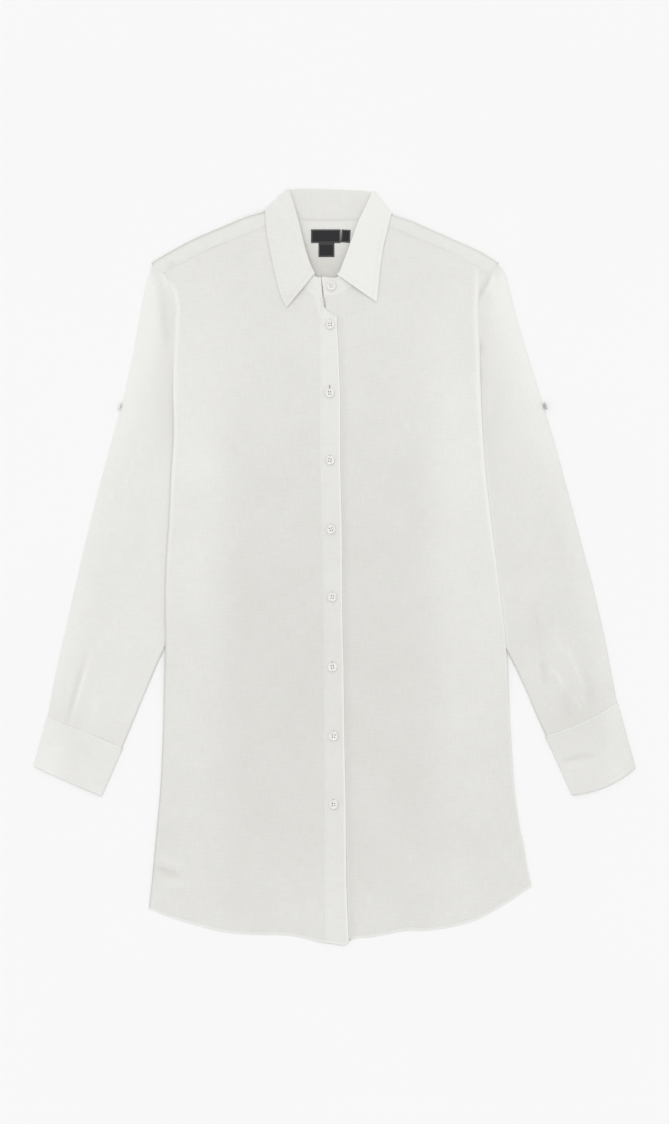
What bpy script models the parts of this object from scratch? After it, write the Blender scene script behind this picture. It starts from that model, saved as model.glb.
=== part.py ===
"""A long-sleeved linen shirt dress, laid flat and face up on a table.

+Z is up and the collar points to +Y. The origin is the middle of the underside,
so the dress lies on z = 0. Left and right are those of someone looking at it.
Tables and named sizes are in millimetres, and the meshes are in metres.

The back lies on the table. The fronts, the button band and the placket are
stacked on it, a layer at a time. The sleeves are flattened tubes whose inner
edges are tucked behind the sides. The collar is a flattened ring: its back half
lies below the level of its front half, and both bend round at the sides.
"""

import math

import bmesh
import bpy
import numpy as np
from mathutils import Vector

MM = 0.001

# Cloth: every wall, the gap between neighbouring pieces, and what follows from them
WALL = 1.2
SEAM = 0.3
LAYER = WALL + SEAM
LOWEST = WALL / 2
FOLD = LAYER / 2
FOLD_STEPS = 6

# The sleeves' and cuffs' flattened tubes
SLEEVE_THICK = 2.9
CUFF_THICK = 4.0
ACROSS_SLEEVE = 11
OUTER_CROWDING = 1.6
END_STEPS = 4

# How the tucked sleeves lift the sides, and the hidden half of the collar the yoke
TUCK_LIFT = 3.2
TUCK_LEVEL = 9.0
TUCK_RAMP = 24.0
TUCK_FADE = (205.0, 285.0)
NECK_LEVEL = 12.0
NECK_RAMP = 36.0

# Heights along the body where its panels have a row, from the hem's foot to below the neck
BODY_ROWS = (
    -450, -400, -340, -280, -220, -165, -130, -100, -70, -40, -10,
    20, 50, 80, 110, 140, 170, 200, 235, 270, 288, 304.5, 318,
)  # fmt: skip
BACK_HEM_RISE = 3.0
BACK_TOP_ROWS = (325.0, 332.0)
PLACKET_TOP_ROWS = (310.5, 317.0, 323.0)
BAND_TOP_ROWS = (317.0, 324.0)
YOKE_SEAM = 339.5
FORWARD_ROWS = 9
HEM_TRIES = 6

# Where the panels have a column: shares of the way from the side to the placket
SIDE_COLUMNS = (0, 0.05, 0.10, 0.16, 0.22, 0.28, 0.36, 0.47, 0.59, 0.71)
NECK_COLUMN = SIDE_COLUMNS[-1]
BACK_MIDDLE_COLUMNS = (0.85, 1.0)

# How fast the armhole's bulge fades from column to column, on the panels and on the yoke's strips
PANEL_FADE = 4
STRIP_FADE = 8

# The yoke: its columns from a shoulder's tip to the neck, its rows, how its feet gather towards
# the middle, and where its fold turns from the shoulder's direction to the neck's
SHOULDER_COLUMNS = (0, 0.06, 0.15, 0.28, 0.42, 0.56, 0.7, 0.82, 0.93, 0.983, 1)
YOKE_ROWS = 10
STRIP_ROWS = (0.4, 0.7, 1.0)
FOOT_GATHER = 0.9
NECK_TURN = (0.85, 0.97)
TIP_FADE = 8
TIP_TURN_FADE = 12
TIP_STEP = 8.0
SLOPE_STEP = 2.0

BUTTON_WIDE = 11.5
BUTTON_THICK = 2.2
TAB_BUTTON_WIDE = 9.0
TAB_BUTTON_HEIGHT = 195.0
TAB_SLOPE_STEP = 10.0
COLLAR_BUTTON = (-3.8, 342.5)
BUTTON_SIDES = 14
BUTTON_RIM = 0.5
LABEL_THICK = 0.8
LABEL_ROWS = 4

LINEN = (0.86, 0.855, 0.83, 1)
SHELL = (0.80, 0.79, 0.76, 1)
INK = (0.012, 0.012, 0.015, 1)


def table(names, rows):
    """{column name: its numbers}, from a string of names and a tuple of rows."""
    return {name: np.array(column, float) for name, column in zip(names.split(), zip(*rows))}


# The body's outline: its sides, and above the armpits its armholes up to the shoulder tips
EDGES = table("height left right", (
    (-420.0, -226.6, 249.0),
    (-380.0, -222.3, 237.6),
    (-342.0, -218.7, 230.6),
    (-312.0, -216.0, 224.6),
    (-283.0, -213.3, 220.5),
    (-206.0, -209.4, 214.9),
    (-151.0, -207.8, 211.5),
    (-92.0, -206.3, 208.7),
    (-58.0, -207.0, 205.1),
    (16.0, -205.0, 195.9),
    (54.0, -202.4, 191.2),
    (115.0, -199.6, 184.3),
    (160.0, -196.5, 180.9),
    (215.0, -196.6, 177.6),
    (260.0, -194.2, 175.4),
    (296.0, -191.6, 173.9),
    (325.0, -192.8, 174.2),
    (342.0, -198.8, 177.0),
    (357.0, -208.4, 185.2),
    (371.2, -224.0, 200.6),
))  # fmt: skip
SHOULDER_TIP = 370.0

# The shirt-tail hem, deepest at the placket
HEM = table("across height", (
    (-228.0, -417.5),
    (-205.0, -426.7),
    (-173.0, -436.5),
    (-133.0, -446.5),
    (-96.0, -449.3),
    (-48.0, -451.5),
    (-27.0, -456.5),
    (-1.5, -460.2),
    (13.0, -461.5),
    (20.0, -456.6),
    (45.0, -452.3),
    (66.0, -448.2),
    (84.0, -444.8),
    (114.0, -443.8),
    (142.0, -440.0),
    (177.0, -429.4),
    (191.0, -421.8),
    (217.0, -406.3),
    (240.0, -391.5),
    (252.0, -385.0),
))  # fmt: skip

# The buttonhole placket's sewn and free edges; above the first button it falls open to the left
PLACKET = table("height seam edge", (
    (-462.0, -10.4, 17.0),
    (-381.0, -12.2, 13.9),
    (-290.0, -12.2, 13.4),
    (-205.0, -12.3, 11.7),
    (-123.0, -12.9, 10.8),
    (-63.0, -13.4, 9.3),
    (42.0, -15.6, 8.8),
    (130.0, -17.3, 6.7),
    (211.0, -17.2, 6.7),
    (270.0, -17.3, 4.3),
    (288.0, -17.8, 2.9),
    (304.5, -19.5, 2.6),
    (310.5, -20.6, -9.0),
    (317.0, -21.8, -16.3),
    (331.0, -25.0, -18.4),
))  # fmt: skip
PLACKET_DROP = (312.0, 329.0)
PLACKET_SLOPE = 22.0

# The button band's free edge, hidden below the neck, and the edge sewn to the right front
BAND = table("height free sewn", (
    (-462.0, -8.4, 19.6),
    (-290.0, -10.2, 16.1),
    (-63.0, -11.4, 11.9),
    (130.0, -15.3, 9.4),
    (211.0, -15.2, 9.4),
    (270.0, -15.0, 6.9),
    (304.5, -13.0, 5.6),
    (317.0, -10.8, 5.6),
    (332.0, -12.9, 6.0),
))  # fmt: skip

# Front buttons: height, and distance from the placket's seam
BUTTONS = table("height from_seam", (
    (295.0, 13.2),
    (211.4, 11.3),
    (129.4, 11.7),
    (45.1, 11.4),
    (-37.5, 11.1),
    (-122.9, 10.4),
    (-207.1, 11.3),
    (-290.7, 11.1),
))  # fmt: skip

# The middle of each shoulder's fold, from the neck to the tip, and the forward seam below it
SHOULDERS = {
    -1: table("across height", (
        (-82.6, 434.4),
        (-84.6, 432.6),
        (-92.0, 430.0),
        (-103.0, 427.0),
        (-136.0, 413.8),
        (-170.0, 399.2),
        (-198.0, 384.5),
        (-223.2, 370.0),
    )),
    1: table("across height", (
        (67.2, 430.7),
        (68.8, 428.7),
        (75.5, 426.2),
        (91.4, 421.2),
        (125.5, 406.6),
        (158.5, 392.0),
        (176.0, 384.2),
        (199.8, 370.0),
    )),
}  # fmt: skip
FORWARD_SEAMS = {
    -1: table("across height", (
        (-76.7, 419.6),
        (-119.1, 402.2),
        (-165.4, 383.0),
        (-210.0, 359.0),
    )),
    1: table("across height", (
        (60.7, 418.2),
        (95.0, 404.0),
        (140.0, 385.5),
        (187.0, 359.0),
    )),
}  # fmt: skip

# The sleeves: outer and inner end of each row, from the armhole to the cuff seam
SLEEVES = {
    -1: table("outer_x outer_y inner_x inner_y", (
        (-224.0, 371.2, -195.9, 164.0),
        (-234.0, 327.0, -193.5, 142.0),
        (-243.7, 270.0, -186.5, 118.5),
        (-256.5, 211.0, -176.0, 95.0),
        (-271.0, 157.0, -165.5, 71.0),
        (-285.0, 105.0, -162.0, 40.0),
        (-300.5, 44.0, -174.0, -8.0),
        (-315.0, -18.0, -192.5, -66.0),
        (-329.0, -80.0, -218.9, -125.4),
        (-341.0, -133.0, -239.6, -175.0),
        (-350.6, -184.6, -259.4, -222.0),
    )),
    1: table("outer_x outer_y inner_x inner_y", (
        (200.6, 371.2, 180.8, 156.5),
        (215.0, 327.0, 178.7, 134.0),
        (232.3, 270.0, 172.0, 110.5),
        (249.5, 214.0, 163.0, 87.0),
        (266.8, 158.0, 157.0, 62.0),
        (281.3, 105.0, 156.0, 33.0),
        (297.5, 44.0, 170.0, -12.0),
        (314.0, -18.0, 192.0, -68.0),
        (328.5, -80.0, 221.7, -125.0),
        (338.5, -132.0, 242.5, -173.0),
        (345.2, -167.2, 257.9, -207.3),
    )),
}  # fmt: skip
SLEEVE_ROWS = 15
ARMHOLE_FADE_ROWS = 4.0
TIP_GAP = 1.5
UNDERARM_BOW = 14.0
UNDERARM_ROWS = 8

# The cuffs: the ends of their hems, how far a cuff reaches past the sleeve at either end, and
# how far its seam and its hem bow outwards
CUFF_HEMS = {-1: ((-367.4, -243.6), (-284.0, -280.4)), 1: ((367.4, -245.8), (289.8, -279.3))}
CUFF_OVER = 0.9
CUFF_BOWS = {-1: (0.0, 0.5), 1: (3.6, 6.5)}
BOW_ROWS = 2.0
CUFF_ROWS = (0, 0.06, 0.5, 1)

# The collar, section by section from its left end round the back of the neck to its right end:
# the neck seam, the fold at the top, the leaf's edge, the fold's height, and how much of the
# leaf lies inside the fold. The first and last rows are the stand's ends, past the leaf.
COLLAR_COLUMNS = "seam_x seam_y fold_x fold_y edge_x edge_y rise roll"
COLLAR_LEFT = table(COLLAR_COLUMNS, (
    (-18.4, 328.5, -18.0, 351.5, -58.7, 315.7, 4.2, 0.0),
    (-25.0, 331.0, -24.2, 358.6, -58.7, 315.7, 6.2, 4.2),
    (-50.0, 350.0, -30.8, 373.0, -66.5, 334.0, 7.4, 3.2),
    (-64.0, 384.0, -37.6, 396.0, -74.0, 364.0, 7.8, 3.2),
    (-71.3, 407.0, -43.4, 421.0, -79.5, 391.0, 6.6, 4.0),
    (-76.7, 419.6, -48.8, 440.0, -83.0, 412.0, 4.6, 5.4),
    (-82.6, 434.4, -54.9, 459.5, -84.6, 432.6, 2.85, 7.2),
))  # fmt: skip
COLLAR_BACK = table(COLLAR_COLUMNS, (
    (-82.6, 434.4, -54.9, 459.5, -84.6, 432.6, 2.85, 7.2),
    (-62.0, 427.4, -44.5, 461.0, -66.0, 420.2, 2.85, 7.2),
    (-36.0, 424.0, -29.0, 461.2, -36.0, 418.3, 2.85, 7.2),
    (-6.5, 423.2, -6.5, 460.6, -6.5, 418.0, 2.85, 7.2),
    (22.0, 424.0, 18.0, 459.8, 22.0, 418.2, 2.85, 7.2),
    (48.0, 426.6, 36.5, 458.6, 51.0, 419.8, 2.85, 7.2),
    (67.2, 430.7, 45.9, 457.2, 68.8, 428.7, 2.85, 6.0),
))  # fmt: skip
COLLAR_RIGHT = table(COLLAR_COLUMNS, (
    (67.2, 430.7, 45.9, 457.2, 68.8, 428.7, 2.85, 6.0),
    (60.7, 418.2, 38.3, 440.0, 65.0, 413.0, 4.6, 4.8),
    (56.5, 406.0, 29.5, 422.0, 60.3, 394.0, 6.6, 3.8),
    (48.0, 384.0, 20.5, 398.0, 56.5, 371.0, 7.8, 3.2),
    (34.0, 353.0, 10.8, 372.0, 53.6, 345.0, 7.4, 3.2),
    (6.0, 333.6, 3.4, 357.0, 51.7, 322.4, 6.2, 4.2),
    (-12.9, 330.8, -15.3, 353.2, 51.7, 322.4, 4.0, 0.0),
))  # fmt: skip
FRONT_SAMPLES = 2
BACK_SAMPLES = 1
FRONT_NECK = (1, 5)
STAND_ROWS = 4
LEAF_TURNS = 5
LEAF_ROWS = (0.25, 0.5, 0.75, 1.0)
LEAF_CROWN = 1.2
RIM_TURN = 0.3

# From which lean and height of its fold on the leaf belongs to the front, and over how much more
FRONT_LEAN = (60, 30)
FRONT_RISE = (3, 3)

# Labels below the back of the collar: low and high corner, and slant in degrees
LABELS = {
    "label_main": (-28.4, 394.9, 7.2, 411.0, 0.0),
    "label_fold": (8.4, 395.4, 19.0, 410.6, -4.0),
    "label_size": (-19.3, 377.9, -0.4, 394.3, 0.0),
}


def ease(t):
    """0 to 1 with level ends."""
    t = np.clip(t, 0, 1)
    return t * t * (3 - 2 * t)


def smooth(at, places, values):
    """The value at a place, on a smooth curve through a table's rows."""
    places, values = np.asarray(places, float), np.asarray(values, float)
    if places[0] > places[-1]:
        places, values = places[::-1], values[::-1]
    at = np.clip(at, places[0], places[-1])
    i = np.clip(np.searchsorted(places, at) - 1, 0, len(places) - 2)
    slopes = np.gradient(values, places)
    gap = places[i + 1] - places[i]
    t = (at - places[i]) / gap
    rise = values[i + 1] - values[i]
    bend = (slopes[i] + slopes[i + 1]) * gap - 2 * rise
    return values[i] + t * (slopes[i] * gap + t * (3 * rise - (2 * slopes[i] + slopes[i + 1]) * gap + t * bend))


def rows_of(columns, steps):
    """A table resampled on smooth curves, with a number of steps between its rows."""
    old = np.arange(len(next(iter(columns.values()))))
    new = np.linspace(0, old[-1], old[-1] * steps + 1)
    return {name: smooth(new, old, values) for name, values in columns.items()}


def side_edge(y, side, gap=0.0):
    """The body's outline at a height, moved out by a gap square to it."""
    xs = EDGES["left" if side < 0 else "right"]
    x = smooth(y, EDGES["height"], xs)
    slope = (smooth(y + 1, EDGES["height"], xs) - smooth(y - 1, EDGES["height"], xs)) / 2
    return x + side * gap * np.sqrt(1 + slope * slope)


def armhole_bulge(start, end, step, side):
    """How far the outline lies sideways from a point on the straight line between two ends."""
    x, y = start + step * (end - start)
    return side_edge(y, side, -SEAM / 2) - x


def ground(x, y):
    """How far the back layer is lifted off the table by what lies hidden below it."""
    lift = 0.0
    for side, sleeve in SLEEVES.items():
        inward = side * (smooth(y, sleeve["inner_y"], sleeve["inner_x"]) - x)
        over = ease((TUCK_LEVEL + TUCK_RAMP - inward) / TUCK_RAMP)
        low, high = TUCK_FADE
        lift = np.maximum(lift, TUCK_LIFT * over * ease((high - y) / (high - low)))
    left, right = COLLAR_BACK["seam_x"][0], COLLAR_BACK["seam_x"][-1]
    beside = np.maximum(np.maximum(left - x, x - right), 0)
    below = np.maximum(COLLAR_BACK["seam_y"][1] - y, 0)
    near = ease((NECK_LEVEL + NECK_RAMP - np.hypot(beside, below)) / NECK_RAMP)
    return lift + LAYER * near


def on_layer(x, y, layer):
    """A point in the middle of a layer: 0 is the back, 1 lies on it, and so on."""
    return np.array([x, y, ground(x, y) + LOWEST + layer * LAYER])


def cloth_material(name, colour, roughness):
    material = bpy.data.materials.new(name)
    material.use_nodes = True
    shader = material.node_tree.nodes["Principled BSDF"]
    shader.inputs["Base Color"].default_value = colour
    shader.inputs["Roughness"].default_value = roughness
    shader.inputs["Metallic"].default_value = 0.0
    return material


def new_object(name, mesh, colour=LINEN, roughness=0.85):
    mesh.materials.append(cloth_material(name + "_finish", colour, roughness))
    made = bpy.data.objects.new(name, mesh)
    bpy.data.collections["shirt_dress"].objects.link(made)
    return made


def sheet(name, points, wall=WALL, keep=None, closed=False, **finish):
    """A cloth wall whose middle is a grid of points, rows by columns, in millimetres.

    keep(row, column) says which of the grid's cells are cloth. A closed sheet
    is a tube: its last column lies on its first.
    """
    points = np.asarray(points, float) * MM
    rows, columns = points.shape[0] - 1, points.shape[1] - 1
    bm = bmesh.new()
    bmesh.ops.create_grid(bm, x_segments=columns, y_segments=rows, size=0.5)
    places = {}
    for vert in bm.verts:
        places[vert] = (round((vert.co.y + 0.5) * rows), round((vert.co.x + 0.5) * columns))
    if keep:
        unused = []
        for face in bm.faces:
            row = min(places[vert][0] for vert in face.verts)
            column = min(places[vert][1] for vert in face.verts)
            if not keep(row, column):
                unused.append(face)
        bmesh.ops.delete(bm, geom=unused, context="FACES")
    for vert in bm.verts:
        vert.co = points[places[vert]]
    if closed:
        bmesh.ops.remove_doubles(bm, verts=bm.verts, dist=0.01 * MM)
    bmesh.ops.triangulate(bm, faces=bm.faces, quad_method="SHORT_EDGE" if closed else "FIXED")
    mesh = bpy.data.meshes.new(name)
    bm.to_mesh(mesh)
    bm.free()
    made = new_object(name, mesh, **finish)
    thicken = made.modifiers.new("wall", "SOLIDIFY")
    thicken.thickness = wall * MM
    thicken.offset = 0
    return made


def placket_line(y, column):
    return np.interp(y, PLACKET["height"], PLACKET[column])


def band_line(y, column):
    return np.interp(y, BAND["height"], BAND[column])


def hem_foot(across):
    """Where a column of the body reaches the hem; across(y) is the column's x."""
    y = HEM["height"].min()
    for _ in range(HEM_TRIES):
        y = smooth(across(y), HEM["across"], HEM["height"])
    return y


def body_column(across, raise_foot=0.0):
    """The heights of a column's rows, which follow the hem at the foot and then level out."""
    foot = hem_foot(across)
    shares = (np.array(BODY_ROWS, float) - BODY_ROWS[0]) / (BODY_ROWS[-1] - BODY_ROWS[0])
    heights = foot + shares * (BODY_ROWS[-1] - foot)
    heights[0] += raise_foot
    return heights


def placket_lift(x, y):
    """How far the left front rises to meet the placket, which lies on the band."""
    low, high = PLACKET_DROP
    near = ease(1 - (placket_line(y, "seam") - x) / PLACKET_SLOPE)
    return LAYER * near * ease((high - y) / (high - low))


def forward_seam(side, share, gap):
    """A point of the forward shoulder seam, from the armhole to the neck, moved down by a gap."""
    seam = FORWARD_SEAMS[side]
    along = np.linspace(1, 0, len(seam["across"]))
    x, y = smooth(share, along, seam["across"]), smooth(share, along, seam["height"])
    return np.array([x, y - gap])


def neck_seam(rows, gap):
    """The neck seam's points along sampled collar rows, moved away from the collar by a gap."""
    seam = np.stack([rows["seam_x"], rows["seam_y"]], axis=1)
    fold = np.stack([rows["fold_x"], rows["fold_y"]], axis=1)
    up = (fold - seam) / np.linalg.norm(fold - seam, axis=1)[:, None]
    return seam - gap * up


def make_front(name, side):
    """A front panel, from its side and armhole to the placket, up to the forward and neck seams."""
    half = SEAM / 2
    collar = rows_of(COLLAR_LEFT if side < 0 else COLLAR_RIGHT, FRONT_SAMPLES)
    neck = neck_seam(collar, half)
    if side > 0:
        neck = neck[::-1]
    first, last = (row * FRONT_SAMPLES for row in FRONT_NECK)
    neck = neck[first : last + 1][::-1]
    along = (neck[:, 0] - neck[0, 0]) / (neck[-1, 0] - neck[0, 0])
    shares = list(SIDE_COLUMNS) + list(NECK_COLUMN + (1 - NECK_COLUMN) * along[1:])
    top = [forward_seam(side, share / NECK_COLUMN, half) for share in SIDE_COLUMNS[:-1]] + list(neck)

    def inner(y):
        if side < 0:
            return placket_line(y, "seam") - half
        return band_line(y, "sewn") + half

    def across(share):
        return lambda y: (1 - share) * side_edge(y, side, -half) + share * inner(y)

    columns = []
    low_corner = np.array([across(0)(BODY_ROWS[-1]), BODY_ROWS[-1]])
    for share, end in zip(shares, top):
        line = [np.array([across(share)(y), y]) for y in body_column(across(share))]
        start = line[-1]
        for step in np.linspace(0, 1, FORWARD_ROWS)[1:]:
            bulge = armhole_bulge(low_corner, top[0], step, side) * (1 - share) ** PANEL_FADE
            line.append(start + step * (end - start) + (bulge, 0))
        columns.append(line)
    points = np.array([[on_layer(x, y, 1) for x, y in row] for row in zip(*columns)])
    if side < 0:
        points[..., 2] += placket_lift(points[..., 0], points[..., 1])
        return sheet(name, points)
    return sheet(name, points[:, ::-1])


def make_back():
    half = SEAM / 2

    def across(side, share):
        def x_at(y):
            inner = placket_line(y, "seam") if side < 0 else band_line(y, "sewn")
            return (1 - share) * side_edge(y, side, -half) + share * inner

        return x_at

    shares = SIDE_COLUMNS + BACK_MIDDLE_COLUMNS
    lines = [across(-1, share) for share in shares] + [across(1, share) for share in shares[::-1]]
    points = []
    for x_at in lines:
        heights = [*body_column(x_at, BACK_HEM_RISE), *BACK_TOP_ROWS, YOKE_SEAM - half]
        points.append([on_layer(x_at(y), y, 0) for y in heights])
    return sheet("back", np.array(points).transpose(1, 0, 2))


def unit(v):
    return v / np.linalg.norm(v)


def turned_left(v):
    return np.array([-v[1], v[0]])


def shoulder(side, share):
    """A point of a shoulder's fold and the plan direction out of it; share runs tip to neck."""
    fold = SHOULDERS[side]
    line = np.stack([fold["across"], fold["height"]], axis=1)
    along = np.concatenate([[0], np.cumsum(np.linalg.norm(np.diff(line, axis=0), axis=1))])
    at = (1 - share) * along[-1]
    point = np.array([smooth(at, along, line[:, 0]), smooth(at, along, line[:, 1])])
    after, before = at + SLOPE_STEP, at - SLOPE_STEP
    ahead = np.array([smooth(after, along, line[:, 0]), smooth(after, along, line[:, 1])])
    behind = np.array([smooth(before, along, line[:, 0]), smooth(before, along, line[:, 1])])
    out = unit(turned_left(ahead - behind)) * side
    return point, out


def corner_out(rows, index, side):
    """The plan direction out of the collar where it bends round at the side of the neck."""
    seam = np.array([rows["seam_x"][index], rows["seam_y"][index]])
    fold = np.array([rows["fold_x"][index], rows["fold_y"][index]])
    return turned_left(unit(fold - seam)) * -side


def shoulder_columns(side, half):
    """Columns of the yoke from a shoulder's tip to the neck: foot, fold, way out, front, share."""
    corner = 0 if side < 0 else -1
    neck_out = corner_out(COLLAR_BACK, corner, side)
    neck_point = neck_seam(COLLAR_BACK, half)[corner]
    tip = np.array([side_edge(SHOULDER_TIP, side, -half), SHOULDER_TIP])
    below = SHOULDER_TIP - TIP_STEP
    below_tip = np.array([side_edge(below, side, -half), below])
    foot_tip = np.array([side_edge(YOKE_SEAM + half, side, -half), YOKE_SEAM + half])
    foot_neck = np.array([neck_point[0] * FOOT_GATHER, YOKE_SEAM + half])
    turn_start, turn_end = NECK_TURN
    made = []
    for share in SHOULDER_COLUMNS:
        fold, out = shoulder(side, share)
        fold += (tip - shoulder(side, 0)[0]) * (1 - share) ** TIP_FADE
        out = unit(out + (unit(tip - below_tip) - out) * (1 - share) ** TIP_TURN_FADE)
        out = unit(out + (neck_out - out) * ease((share - turn_start) / (turn_end - turn_start)))
        if share == 1:
            fold = neck_point
        foot = foot_tip + share * (foot_neck - foot_tip)
        made.append((foot, fold, out, forward_seam(side, share, -half), share))
    return made


def make_yoke():
    """The yoke: its back on the table, a fold along each shoulder, and a strip down each front."""
    half = SEAM / 2
    back_rows = np.linspace(0, 1, YOKE_ROWS + 1)

    def shoulder_lines(side):
        columns = shoulder_columns(side, half)
        foot_tip, tip, _, front_tip, _ = columns[0]
        lines = []
        for foot, fold, out, front, share in columns:
            line = []
            for step in back_rows:
                bulge = armhole_bulge(foot_tip, tip, step, side) * (1 - share) ** PANEL_FADE
                line.append(on_layer(*(foot + step * (fold - foot) + (bulge, 0)), 0))
            centre = line[-1] + (0, 0, FOLD)
            for turn in np.linspace(-90, 90, FOLD_STEPS + 1)[1:]:
                angle = math.radians(turn)
                line.append(centre + FOLD * np.array([*(out * math.cos(angle)), math.sin(angle)]))
            for step in STRIP_ROWS:
                bulge = armhole_bulge(tip, front_tip, step, side) * (1 - share) ** STRIP_FADE
                line.append(on_layer(*(fold + step * (front - fold) + (bulge, 0)), 1))
            lines.append(line)
        return lines

    left, right = shoulder_lines(-1), shoulder_lines(1)[::-1]
    middle = []
    unused = FOLD_STEPS + len(STRIP_ROWS)
    for point in neck_seam(rows_of(COLLAR_BACK, BACK_SAMPLES), half)[1:-1]:
        foot = np.array([point[0] * FOOT_GATHER, YOKE_SEAM + half])
        line = [on_layer(*(foot + step * (point - foot)), 0) for step in back_rows]
        middle.append(line + [line[-1]] * unused)
    points = np.array(left + middle + right).transpose(1, 0, 2)
    first, last = len(left) - 1, len(left) + len(middle)

    def keep(row, column):
        return row < YOKE_ROWS or column < first or column >= last

    return sheet("yoke", points, keep=keep)


def collar_sections():
    """Every section of the collar, in order round the neck, as a dictionary each."""
    sections = []
    least_lean, more_lean = FRONT_LEAN
    least_rise, more_rise = FRONT_RISE

    def add(rows, index, side, lean):
        section = {name: values[index] for name, values in rows.items()}
        seam = np.array([section["seam_x"], section["seam_y"]])
        fold = np.array([section["fold_x"], section["fold_y"]])
        edge = np.array([section["edge_x"], section["edge_y"]])
        out = turned_left(unit(fold - seam)) * -side
        angle = math.radians(lean)
        section["normal"] = np.array([*(out * math.cos(angle)), math.sin(angle)])
        section["seam"] = np.array([*seam, ground(*seam) + LOWEST + FOLD])
        section["fold"] = np.array([*fold, section["rise"]])
        section["edge"] = np.array([*edge, ground(*edge) + LOWEST + FOLD])
        leans, rises = (lean - least_lean) / more_lean, (section["rise"] - least_rise) / more_rise
        section["front"] = ease(leans) * ease(rises)
        ahead = np.array([np.gradient(rows["fold_x"])[index], np.gradient(rows["fold_y"])[index]])
        inward = -turned_left(unit(ahead))
        section["up"] = np.array([*unit(unit(fold - seam) + section["front"] * RIM_TURN * inward), 0.0])
        sections.append(section)

    turns = np.linspace(-90, 90, FOLD_STEPS + 1)[1:-1]
    left = rows_of(COLLAR_LEFT, FRONT_SAMPLES)
    back = rows_of(COLLAR_BACK, BACK_SAMPLES)
    right = rows_of(COLLAR_RIGHT, FRONT_SAMPLES)
    for index in range(len(left["rise"])):
        add(left, index, -1, 90)
    for lean in turns[::-1]:
        add(back, 0, -1, lean)
    for index in range(len(back["rise"])):
        add(back, index, 1, -90)
    for lean in turns:
        add(back, -1, 1, lean)
    for index in range(len(right["rise"])):
        add(right, index, 1, 90)
    return sections


def along_section(section, distance):
    """A point of the line from a section's seam to its fold, at a distance from the fold."""
    whole = np.linalg.norm((section["fold"] - section["seam"])[:2])
    return section["fold"] + (section["seam"] - section["fold"]) * distance / whole


def make_stand(sections):
    half = SEAM / 2
    columns = []
    for section in sections:
        whole = np.linalg.norm((section["fold"] - section["seam"])[:2])
        columns.append([
            along_section(section, distance) + FOLD * section["normal"]
            for distance in np.linspace(whole - half, section["roll"], STAND_ROWS)
        ])
    return sheet("collar_stand", np.array(columns).transpose(1, 0, 2))


def make_leaf(sections):
    """The leaf: up from the stand, round the fold, and down to its free edge."""
    columns = []
    for section in sections:
        centre = section["fold"] - (FOLD + WALL / 2) * section["up"] + 2 * FOLD * section["normal"]
        line = [along_section(section, section["roll"] - SEAM) + FOLD * section["normal"]]
        for turn in np.linspace(0, 180, LEAF_TURNS):
            angle = math.radians(turn)
            reach = section["up"] * math.sin(angle) - section["normal"] * math.cos(angle)
            line.append(centre + FOLD * reach)
        start, end = line[-1], section["edge"] + 3 * FOLD * section["normal"]
        for share in LEAF_ROWS:
            crown = LEAF_CROWN * math.sin(math.pi * share) * section["front"]
            line.append(start + share * (end - start) + (0, 0, crown))
        columns.append(line)
    return sheet("collar_leaf", np.array(columns).transpose(1, 0, 2))


def make_placket():
    """The buttonhole placket, down the left front; its open top bends down to the neck seam."""
    half = SEAM / 2
    neck = neck_seam(rows_of(COLLAR_LEFT, FRONT_SAMPLES), half)[: FRONT_SAMPLES + 1][::-1]
    heights = [y for y in BODY_ROWS[1:] if y < PLACKET_TOP_ROWS[0]] + list(PLACKET_TOP_ROWS)
    columns = []
    for share, top in zip(np.linspace(0, 1, len(neck)), neck):
        def across(y, share=share):
            return (1 - share) * (placket_line(y, "seam") + half) + share * placket_line(y, "edge")

        line = [np.array([across(y), y]) for y in [hem_foot(across)] + heights]
        line.append(np.array(top))
        if share == 0:
            line[-1][0] += half
        columns.append(line)
    low, high = PLACKET_DROP
    points = [
        [on_layer(x, y, 1) + (0, 0, LAYER * ease((high - y) / (high - low))) for x, y in row]
        for row in zip(*columns)
    ]
    return sheet("placket", points)


def make_button_band():
    half = SEAM / 2
    neck = neck_seam(rows_of(COLLAR_RIGHT, FRONT_SAMPLES), half)[-FRONT_SAMPLES - 1 :][::-1]
    heights = [y for y in BODY_ROWS[1:] if y < PLACKET_TOP_ROWS[0]] + list(BAND_TOP_ROWS)
    columns = []
    for share, top in zip(np.linspace(0, 1, len(neck)), neck):
        def across(y, share=share):
            return (1 - share) * band_line(y, "free") + share * (band_line(y, "sewn") - half)

        foot = hem_foot(across) + BACK_HEM_RISE
        line = [np.array([across(y), y]) for y in [foot] + heights]
        line.append(np.array(top))
        if share == 1:
            line[-1][0] -= half
        columns.append(line)
    return sheet("button_band", [[on_layer(x, y, 1) for x, y in row] for row in zip(*columns)])


def ring(start, end, thick, out_start, out_end, bend):
    """A flattened tube's middle line round one row, under it from start to end and back on top.

    start and end are where its two folds begin, the outs their plan directions, and
    bend(share) is the row's shift from a straight line.
    """
    radius = (thick - WALL) / 2

    def place(share, out=0.0, up=0.0):
        x, y = start + share * (end - start) + bend(share) + out * radius
        return np.array([x, y, LOWEST + radius * (1 + up)])

    shares = np.linspace(0, 1, ACROSS_SLEEVE + 1) ** OUTER_CROWDING
    turns = np.radians(np.linspace(-90, 90, END_STEPS + 1)[1:-1])
    line = [place(share, up=-1) for share in shares]
    line += [place(1, out_end * math.cos(turn), math.sin(turn)) for turn in turns]
    line += [place(share, up=1) for share in shares[::-1]]
    line += [place(0, out_start * math.cos(turn), math.sin(turn)) for turn in turns[::-1]]
    return line + line[:1]


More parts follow.
